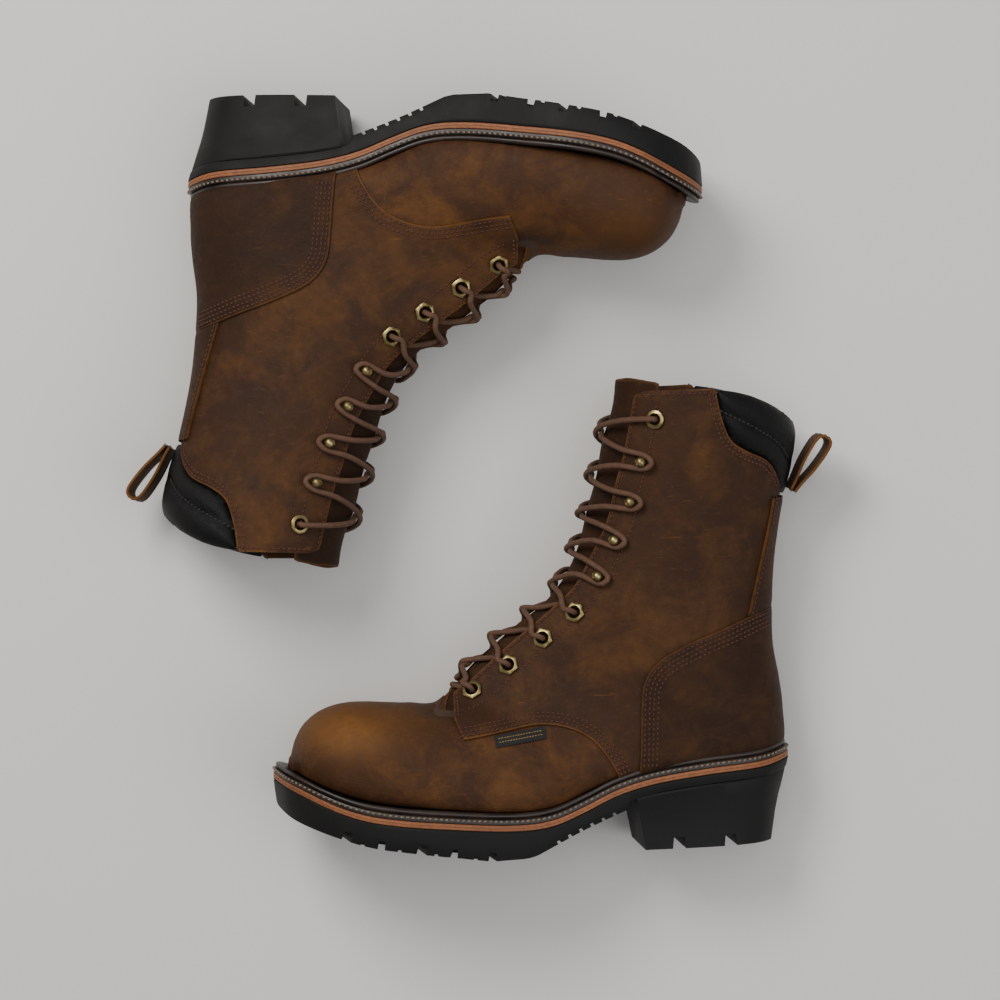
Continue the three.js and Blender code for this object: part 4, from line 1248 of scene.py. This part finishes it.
class BOOTS_OT_lining(bpy.types.Operator):
    """Line the shaft and the foot"""
    bl_idname = "boots.lining"
    bl_label = "Lining"

    def execute(self, context):
        edge = behind_facing(18)[1:-2]
        top = PAD_TOP[::-1] - [0, 4]
        outline = np.vstack([[(-60, 242)], top, edge[::-1], [(176, 92), (205, 96), (205, 140), (400, 140),
                                                            (400, -40), (-60, -40)]])
        for boot in BOOTS:
            made = make_panel(boot, "lining", outline=outline, outside=LINING_OUT, inside=LINING_IN,
                              sides=(1, -1), spacing=4.0, name=f"{boot.name}_lining_cloth")
            cloth = woven_cloth("lining_weave", rgb(46, 33, 23), rgb(78, 58, 40), 420)
            settle(made, "root", [cloth, cloth], [f"{boot.name}_lining"])
        return {"FINISHED"}


class BOOTS_OT_collar_pad(bpy.types.Operator):
    """Stuff the padded collar, with its sewn channel"""
    bl_idname = "boots.collar_pad"
    bl_label = "Collar pad"

    def execute(self, context):
        outline = np.vstack([[(-60, 213.2)], COLLAR_EDGE[:-1] + [-GAP, GAP], PAD_TOP, [(-60, 240)]])
        channel = find(PAD_CHANNEL)
        channel3 = skin(channel[:, 0], channel[:, 1])
        crown = sizes_of(context).pad_crown / MM

        def stuffed(base, distance):
            to_channel = np.linalg.norm(base[:, None] - channel3[None], axis=2).min(1)
            swell = 1 - np.exp(-distance / 4.2)
            sewn = np.exp(-(to_channel / 2.4) ** 2)
            puckers = 0.22 * np.sin(base[:, 0] * 0.9 + base[:, 2] * 0.7) * np.exp(-(to_channel / 5) ** 2)
            return -crown + crown * swell * (1 - 0.6 * sewn) + puckers * swell

        for boot in BOOTS:
            made = make_panel(boot, "collar", outline=outline, outside=3.2, inside=-6.4, sides=(1, -1),
                              spacing=1.7, relief=stuffed, edge_lines=[COLLAR_EDGE, PAD_TOP],
                              name=f"{boot.name}_collar_padding", round_edge=0.8)
            black = padded_leather("collar_leather")
            settle(made, "root", [black, black], [f"{boot.name}_collar_pad"])
        return {"FINISHED"}


class BOOTS_OT_label_tab(bpy.types.Operator):
    """Sew the small plain tab into the side seam"""
    bl_idname = "boots.label_tab"
    bl_label = "Label tab"

    def execute(self, context):
        corners = [(172, 68.5), (172.8, 75.2), (141.5, 79), (140.6, 72.2)]
        for boot in BOOTS:
            body = f"{boot.name}_label_tab"
            made = make_panel(boot, "tab", outline=np.array(corners), outside=-LEATHER + 1, inside=-LEATHER,
                              sides=(1,), spacing=1.2, name=f"{boot.name}_woven_tab", round_edge=0.2)
            cloth = woven_cloth("tab_weave", rgb(16, 16, 16), rgb(36, 35, 34), 420)
            settle(made, body, [cloth, cloth], [body])
            rows = []
            for low, high in (((169.5, 71.4), (144, 74.4)), ((169.8, 73.6), (144.3, 76.6))):
                rows.append(line_on_skin([high, low], 0.0, 1.7, 1, -LEATHER + 1.05, (150, 60)))
            marks = make_stitches(boot, f"{boot.name}_tab_gold_lines", rows, (1.5, 0.5, 0.3))
            settle(marks, body, [thread("gold_thread", 168, 132, 62)])
        return {"FINISHED"}


class BOOTS_OT_welt(bpy.types.Operator):
    """Run the welt with its raised bead round the upper, and sew it"""
    bl_idname = "boots.welt"
    bl_label = "Welt"

    def execute(self, context):
        profile = [(12, -0.4), (6.2, -0.1), (4.4, 0.35), (3.0, 0.3), (2.0, -0.3), (1.6, -1.2), (1.9, -2.2),
                   (2.7, -2.9), (1.6, -3.15), (0.6, -3.5), (0.3, -4.2), (0.25, -5.6), (0.5, -6.4), (12, -6.5)]
        for boot in BOOTS:
            made = sole_ring(boot, f"{boot.name}_waxed_welt", profile)
            settle(made, "root", [waxed_welt("welt_wax")], [f"{boot.name}_welt"])
            pitch = sizes_of(context).welt_pitch / MM
            edge = plan_line(900)
            around = np.linalg.norm(np.roll(edge, -1, axis=0) - edge, axis=1).sum()
            line = plan_line(int(around / pitch), 0.45)
            at = np.column_stack([line, welt_height(line[:, 0]) - 4.4])
            tangent = np.roll(at, -1, axis=0) - np.roll(at, 1, axis=0)
            tangent /= np.linalg.norm(tangent, axis=1)[:, None]
            outward = np.column_stack([-tangent[:, 1], tangent[:, 0], np.full(len(at), 0.12)])
            middle = at.mean(0)
            if ((at - middle) * outward)[:, :2].sum() < 0:
                outward[:, :2] *= -1
            outward -= tangent * (outward * tangent).sum(1)[:, None]
            outward /= np.linalg.norm(outward, axis=1)[:, None]
            sewn = make_stitches(boot, f"{boot.name}_welt_stitches", [(at, tangent, outward)],
                                 (2.3, 1.1, 1.0), lean=0.25)
            settle(sewn, "root", [thread("welt_thread", 142, 124, 102)])
        return {"FINISHED"}


class BOOTS_OT_midsole(bpy.types.Operator):
    """Lay the leather midsole"""
    bl_idname = "boots.midsole"
    bl_label = "Midsole"

    def execute(self, context):
        for boot in BOOTS:
            verts, faces = slab(plan_line(240), lambda p: welt_height(p[:, 0]) - 6.8,
                                lambda p: welt_height(p[:, 0]) - 10.4, 8,
                                [(0, 0.5), (0.1, 0.1), (0.45, 0.0), (0.5, 0.25), (0.55, 0.0), (0.9, 0.1),
                                 (1, 0.5)])
            made = mesh_from(boot.place(verts), faces, f"{boot.name}_leather_midsole")
            settle(made, "root", [stacked_leather("midsole_stack")], [f"{boot.name}_midsole"])
        return {"FINISHED"}


class BOOTS_OT_outsole(bpy.types.Operator):
    """Mould the lugged outsole"""
    bl_idname = "boots.outsole"
    bl_label = "Outsole"

    def execute(self, context):
        def under(p):
            heel = welt_height(p[:, 0]) - 16.7
            return np.where(p[:, 0] < 94, heel, np.minimum(heel, tread_height(p[:, 0])))

        lugs = [(178, 6, 0.10), (200, 5, -0.16), (222, 7, 0.12), (244, 5, -0.10), (266, 6, 0.2)]
        for boot in BOOTS:
            verts, faces = slab(plan_line(240), lambda p: welt_height(p[:, 0]) - 10.7, under, 5,
                                [(0, 0.5), (0.04, 0.05), (0.12, 0.0), (0.5, 0.5), (0.93, 1.3), (1, 1.9)])
            made = mesh_from(boot.place(verts), faces, f"{boot.name}_lugged_sole")
            boxes = []
            for x, width, lean in lugs:
                z = float(tread_height(x))
                slope = -math.atan((tread_height(x + 6) - tread_height(x - 6)) / 12)
                for y, shift in ((44, 0), (-42, 4)):
                    turn = lean * math.copysign(1, y)
                    boxes.append(((x + shift, y, z + 1.0), (width, 36, 8.4), turn, slope))
                boxes.append(((x + 10, 2, z + 1.4), (5, 34, 7.6), -lean * 2, slope))
            for x in (187, 211, 233, 255):
                z = float(tread_height(x))
                slope = -math.atan((tread_height(x + 6) - tread_height(x - 6)) / 12)
                for y in (52, -49):
                    boxes.append(((x + 1, y, z), (3.2, 16, 4.4), 0.0, slope))
            for x in (100, 107, 114, 121, 128, 135):
                boxes.append(((x, 0, float(tread_height(x)) - 1.2), (2.8, 130, 6.4), 0.0, 0.5))
            carve(made, cutters(boot, boxes, "sole_cuts"), 0.5)
            settle(made, "root", [sole_rubber("outsole_rubber")], [f"{boot.name}_outsole"])
        return {"FINISHED"}


class BOOTS_OT_heel(bpy.types.Operator):
    """Mould the heel block, hollowed down its sides"""
    bl_idname = "boots.heel"
    bl_label = "Heel block"

    def execute(self, context):
        full = spread(spline(SOLE_PLAN, 400, closed=True), 1.0, closed=True)
        rear = full[full[:, 0] < 84]
        start = int(np.argmax(np.linalg.norm(np.diff(rear, axis=0), axis=1))) + 1
        rear = np.roll(rear, -start, axis=0)
        rear = spread(rear, 1.8)
        closing = spread([rear[-1], rear[0]], 3.0)[1:-1]
        loop = np.vstack([rear, closing])
        levels = [0, 0.03, 0.2, 0.4, 0.6, 0.8, 0.93, 0.985, 1]
        for boot in BOOTS:
            rings = []
            for share in levels:
                top = welt_height(loop[:, 0]) - 17
                z = top * (1 - share)
                back = np.interp(z, HEEL_BACK[:, 1], HEEL_BACK[:, 0])
                breast = 82.5 + 4.9 * np.clip(z / 30, 0, 1)
                reach = (loop[:, 0] + 12) / 96
                x = back + (breast - back) * reach
                inset = 4.5 * share + 1.7 * math.sin(math.pi * share) + (0.8 if share in (0, 1) else 0)
                y = loop[:, 1] * (1 - inset / 38)
                rings.append(np.column_stack([x, y, z]))
            verts, faces = list(np.vstack(rings)), bridge(len(rings), len(loop))
            for ring, lift in ((0, True), (len(rings) - 1, False)):
                flat, tris = fill(rings[ring][:, :2], 6)
                base = len(verts)
                height = welt_height(flat[:, 0] - 2.2) - 17 if lift else np.zeros(len(flat))
                edge_z = rings[ring][:, 2]
                for p, h in zip(flat, height):
                    near = np.argmin(np.linalg.norm(rings[ring][:, :2] - p, axis=1))
                    on_rim = np.linalg.norm(rings[ring][near, :2] - p) < 1e-3
                    verts.append((p[0], p[1], edge_z[near] if on_rim else h))
                faces += [[base + i for i in f] for f in tris]
            made = mesh_from(boot.place(np.array(verts)), faces, f"{boot.name}_stacked_heel")
            boxes = [((x + 4.5, 0, 1.5), (9, 120, 11), 0.0, 0.0) for x in (25, 57)]
            carve(made, cutters(boot, boxes, "heel_cuts"), 0.6)
            settle(made, "root", [sole_rubber("heel_rubber")], [f"{boot.name}_heel_block"])
        return {"FINISHED"}


class BOOTS_OT_pull_loop(bpy.types.Operator):
    """Fold the pull loop at the back of the shaft"""
    bl_idname = "boots.pull_loop"
    bl_label = "Pull loop"

    def execute(self, context):
        half = 5.8 - 1.1
        line = [(-1.5, -1.3), (6, -2.2), (17, -4.1), (30, -half), (35.5, -half * 0.72), (36.9, 0),
                (35.5, half * 0.72), (30, half), (17, 4.1), (6, 2.2), (-1.5, 1.3)]
        path = smooth_path(np.array(line, float), 8)
        normal = left_of(headings(path))
        section = [(-11, -0.5), (-10.6, -0.75), (-10, -0.85), (10, -0.85), (10.6, -0.75), (11, -0.5),
                   (11, 0.5), (10.6, 0.95), (9.4, 1.05), (-9.4, 1.05), (-10.6, 0.95), (-11, 0.5)]
        verts = []
        for p, n in zip(path, normal):
            for across, thick in section:
                x, z = on_strap(*(p - n * thick))
                verts.append((x, across, z))
        m = len(section)
        faces = bridge(len(path), m)
        faces.append(tuple(range(m)))
        faces.append(tuple(range((len(path) - 1) * m, len(path) * m)))
        for boot in BOOTS:
            body = f"{boot.name}_pull_loop"
            values = {"edge": [11 - abs(across) for p in path for across, thick in section]}
            made = mesh_from(boot.place(np.array(verts)), faces, f"{boot.name}_folded_loop", values=values,
                             smooth_angle=50)
            settle(made, body, leather_pair("loop_leather", 0.95), [body])
            rows = []
            for across in (-8.6, 8.6):
                at, out = [], []
                for p, n in zip(path, normal):
                    x, z = on_strap(*(p - n * 1.05))
                    at.append((x, across, z))
                    tip_x, tip_z = on_strap(*-n)
                    out.append((tip_x - LOOP_FOOT[0], 0, tip_z - LOOP_FOOT[1]))
                run = spread(np.hstack([at, out]), 3.0)
                rows.append((run[:, :3], headings(run[:, :3]), run[:, 3:]))
            sewn = make_stitches(boot, f"{boot.name}_loop_stitches", rows, (2.0, 0.8, 0.35))
            settle(sewn, body, [thread("upper_thread", 86, 44, 28)])
        return {"FINISHED"}


class BOOTS_OT_lace(bpy.types.Operator):
    """Thread the lace from top eyelet to top eyelet"""
    bl_idname = "boots.lace"
    bl_label = "Lace"

    def execute(self, context):
        route = smooth_path(lace_points(), 5)
        verts, faces, maps = tube(route, sizes_of(context).lace_radius / MM, 12)
        for boot in BOOTS:
            mesh = bpy.data.meshes.new(f"{boot.name}_round_lace")
            order = faces if boot.hand > 0 else [tuple(reversed(f)) for f in faces]
            corners = maps if boot.hand > 0 else [tuple(reversed(m)) for m in maps]
            mesh.from_pydata([tuple(v) for v in boot.place(verts)], [], order)
            layer = mesh.uv_layers.new(name="along_lace")
            layer.data.foreach_set("uv", np.array([c for face in corners for c in face], np.float32).ravel())
            mesh.shade_smooth()
            made = bpy.data.objects.new(mesh.name, mesh)
            context.scene.collection.objects.link(made)
            bm = bmesh.new()
            bm.from_mesh(mesh)
            bmesh.ops.recalc_face_normals(bm, faces=bm.faces)
            bm.to_mesh(mesh)
            bm.free()
            settle(made, "root", [braided_lace("lace_braid")], [f"{boot.name}_lace"])
        return {"FINISHED"}


class BOOTS_OT_eyelets(bpy.types.Operator):
    """Set the six-sided eyelets and the round top ones in their stays"""
    bl_idname = "boots.eyelets"
    bl_label = "Eyelets"

    def execute(self, context):
        profile = [(3.4, BARREL_IN), (4.3, BARREL_IN), (4.3, 0.5), (5.8, 0.5), (6.2, 0.9), (6.1, 1.5),
                   (5.2, 1.95), (4.2, 2.1), (3.6, 1.75), (3.4, 1.1)]
        ring, faces = turned(profile, 24)
        six = hexagonal(ring, 4.4, 6.2, 6.5)
        small = ring * [0.93, 0.93, 1.0]
        for boot in BOOTS:
            for side, word in ((1, "outer"), (-1, "inner")):
                spots = [Spot(p, side) for p in EYELET_HOLES]
                verts, out = set_in(spots, six, faces)
                made = mesh_from(boot.place(verts), out, f"{boot.name}_{word}_six_sided_eyelets",
                                 smooth_angle=30)
                settle(made, "root", [antique_brass("eyelet_brass")],
                       [f"{boot.name}_{word}_eyelet_row"])
                verts, out = set_in([Spot(TOP_HOLE, side)], small, faces)
                made = mesh_from(boot.place(verts), out, f"{boot.name}_{word}_round_eyelet", smooth_angle=30)
                settle(made, "root", [antique_brass("eyelet_brass")],
                       [f"{boot.name}_{word}_top_eyelet"])
        return {"FINISHED"}


class BOOTS_OT_hooks(bpy.types.Operator):
    """Rivet the lace hooks on"""
    bl_idname = "boots.hooks"
    bl_label = "Lace hooks"

    def execute(self, context):
        profile = [(0.02, -3.6), (1.6, -3.6), (1.6, 0.3), (3.2, 0.4), (3.5, 0.8), (3.3, 1.3), (2.0, 1.6),
                   (1.6, 2.2), (1.55, 3.4), (2.2, 4.0), (3.0, 4.8), (3.3, 5.9), (3.1, 7.0), (2.4, 8.0),
                   (1.3, 8.7), (0.02, 8.9)]
        shape, faces = turned(profile, 20)
        high = np.clip((shape[:, 2] - 1.6) / 3.4, 0, 1)
        shape[:, 0] += 2.4 * high * high * (3 - 2 * high)
        for boot in BOOTS:
            for side, word in ((1, "outer"), (-1, "inner")):
                verts, out = set_in([Spot(p, side) for p in HOOK_HOLES], shape, faces)
                made = mesh_from(boot.place(verts), out, f"{boot.name}_{word}_ball_hooks", smooth_angle=40)
                settle(made, "root", [antique_brass("hook_brass")],
                       [f"{boot.name}_{word}_hook_row"])
        return {"FINISHED"}


class BOOTS_OT_stays(bpy.types.Operator):
    """Back the eyelets and hooks with leather stays"""
    bl_idname = "boots.stays"
    bl_label = "Facing stays"

    def execute(self, context):
        outline = np.vstack([behind_facing(3), behind_facing(16)[::-1]])
        holes = [ring_of(p, 4.5) for p in EYELET_HOLES] + [ring_of(TOP_HOLE, 4.2)]
        for boot in BOOTS:
            for side, word in ((1, "outer"), (-1, "inner")):
                made = make_panel(boot, f"{word}_stay", outline=outline, outside=BACKING, inside=STAY_IN,
                                  sides=(side,), holes=holes)
                settle(made, "root", leather_pair("stay_leather", 0.7))
        return {"FINISHED"}


class BOOTS_OT_stitching(bpy.types.Operator):
    """Sew the rows of stitches on the upper"""
    bl_idname = "boots.stitching"
    bl_label = "Stitching"

    def execute(self, context):
        gap = sizes_of(context).row_gap / MM
        top_line = [(32.4, 279.6), (74.5, 279.5)]
        for boot in BOOTS:
            rows = {"counter": [], "seam": [], "facing": [], "collar": [], "backstay": [], "pad": []}
            for side in (1, -1):
                raised = GAP + LEATHER
                rows["counter"] += stitch_rows(context, COUNTER_EDGE, [2.2 + gap * k for k in range(4)],
                                               side, raised, (20, 90))
                rows["seam"] += stitch_rows(context, VAMP_SEAM, [2.0 + gap * k for k in range(3)],
                                            side, 0.1, (100, 120))
                rows["facing"] += stitch_rows(context, FACING[1:-1], [2.2, 17.5], side, 0.1, (60, 150))
                rows["facing"] += stitch_rows(context, [(195.6, 88), (194.9, 99)], [2.2], side, 0.1,
                                              (150, 95))
                rows["collar"] += stitch_rows(context, COLLAR_EDGE, [2.2, 2.2 + gap], side, 0.1, (60, 220))
                rows["collar"] += stitch_rows(context, top_line, [2.4], side, 0.1, (50, 250))
                rows["backstay"] += stitch_rows(context, BACKSTAY_EDGE, [1.8], side, raised, (-20, 175))
                rows["pad"] += stitch_rows(context, PAD_CHANNEL, [0.0], side, 1.35, (0, 200))
            for part, lines in rows.items():
                sewn = make_stitches(boot, f"{boot.name}_{part}_stitches", lines, stitch_size(context))
                slot = "black_leather" if part == "pad" else "oiled_leather"
                colour = (34, 33, 32) if part == "pad" else (86, 44, 28)
                name = "collar_thread" if part == "pad" else "upper_thread"
                settle(sewn, "root", [thread(name, *colour)])
        return {"FINISHED"}


class BOOTS_OT_inner_parts(bpy.types.Operator):
    """Finish the parts that lie inside the boots"""
    bl_idname = "boots.inner_parts"
    bl_label = "Inner parts"

    def execute(self, context):
        foam = plain_stock("layer_foam", rgb(52, 50, 47), rgb(74, 71, 66), 0.0, 0.95)
        board = plain_stock("pressed_board", rgb(138, 110, 78), rgb(172, 140, 102), 0.0, 0.85)
        steel = plain_stock("blued_steel", rgb(96, 98, 100), rgb(150, 153, 156), 1.0, 0.4)
        cloth = woven_cloth("footbed_weave", rgb(40, 38, 36), rgb(66, 63, 59), 300)
        stock = {"padding_outer": foam, "padding_inner": foam, "insole_board": board, "heel_stiffener": board,
                 "shank": steel, "toe_cap": steel, "footbed": cloth}
        for boot in BOOTS:
            for part, material in stock.items():
                node = frame["nodes"][f"{boot.name}_{part}"]
                node.data.materials.clear()
                node.data.materials.append(material)
        return {"FINISHED"}


class BOOTS_OT_stage(bpy.types.Operator):
    """Set the plain floor, the soft lights and the camera"""
    bl_idname = "boots.stage"
    bl_label = "Stage"

    def execute(self, context):
        bpy.ops.object.select_all(action="DESELECT")
        bpy.ops.mesh.primitive_plane_add(size=14, location=(0, 0, -0.0006))
        floor = context.object
        floor.name = "studio_floor"
        f = Finish("floor_paint")
        shade = f.noise(6, 2, 0.5)
        colour = context.scene.boot_finishes.floor
        f.set(Base_Color=f.colours(f.spread(shade, 0.3, 0.7, 0.0, 0.04), tuple(colour), rgb(210, 207, 202)),
              Roughness=0.85)
        floor.data.materials.append(f.material)
        for name, place, size, power, tint in (
                ("key_light", (-0.75, 0.95, 1.5), 0.9, 26, (1.0, 0.97, 0.93)),
                ("fill_light", (1.2, -0.5, 1.4), 1.4, 10, (0.95, 0.97, 1.0)),
                ("top_light", (0.1, 0.2, 2.2), 1.8, 12, (1.0, 1.0, 1.0))):
            data = bpy.data.lights.new(name, "AREA")
            data.shape, data.size, data.energy, data.color = "DISK", size, power, tint
            light = bpy.data.objects.new(name, data)
            light.location = place
            light.rotation_euler = (Vector((0, 0, 0.03)) - Vector(place)).to_track_quat("-Z", "Y").to_euler()
            context.scene.collection.objects.link(light)
        world = bpy.data.worlds.new("studio_air")
        context.scene.world = world
        world.use_nodes = True
        world.node_tree.nodes["Background"].inputs["Color"].default_value = (0.95, 0.96, 1.0, 1)
        world.node_tree.nodes["Background"].inputs["Strength"].default_value = 0.34
        data = bpy.data.cameras.new("camera")
        data.lens, data.sensor_width = 153, 36
        camera = bpy.data.objects.new("camera", data)
        camera.location = (0.0129, -0.0147, 2.655)
        context.scene.collection.objects.link(camera)
        context.scene.camera = camera
        return {"FINISHED"}


STEPS = (
    BOOTS_OT_stage, BOOTS_OT_inner_parts, BOOTS_OT_lining, BOOTS_OT_vamp, BOOTS_OT_quarters, BOOTS_OT_stays,
    BOOTS_OT_counter, BOOTS_OT_backstay, BOOTS_OT_collar_pad, BOOTS_OT_tongue, BOOTS_OT_label_tab,
    BOOTS_OT_welt, BOOTS_OT_midsole, BOOTS_OT_outsole, BOOTS_OT_heel, BOOTS_OT_pull_loop, BOOTS_OT_eyelets,
    BOOTS_OT_hooks, BOOTS_OT_lace, BOOTS_OT_stitching,
)


class BOOTS_PT_panel(bpy.types.Panel):
    """Lists the steps of the boots"""
    bl_idname = "BOOTS_PT_panel"
    bl_label = "Boots"
    bl_space_type = "VIEW_3D"
    bl_region_type = "UI"
    bl_category = "Boots"

    def draw(self, context):
        for group in (context.scene.boot_sizes, context.scene.boot_finishes):
            for key in group.__annotations__:
                self.layout.prop(group, key)
        for step in STEPS:
            self.layout.operator(step.bl_idname)


CLASSES = (BootSizes, BootFinishes) + STEPS + (BOOTS_PT_panel,)


def register():
    for cls in CLASSES:
        bpy.utils.register_class(cls)
    bpy.types.Scene.boot_sizes = bpy.props.PointerProperty(type=BootSizes)
    bpy.types.Scene.boot_finishes = bpy.props.PointerProperty(type=BootFinishes)


def unregister():
    del bpy.types.Scene.boot_finishes
    del bpy.types.Scene.boot_sizes
    for cls in reversed(CLASSES):
        bpy.utils.unregister_class(cls)


def main():
    register()
    for step in STEPS:
        group, name = step.bl_idname.split(".")
        getattr(getattr(bpy.ops, group), name)()


if __name__ == "__main__":
    main()
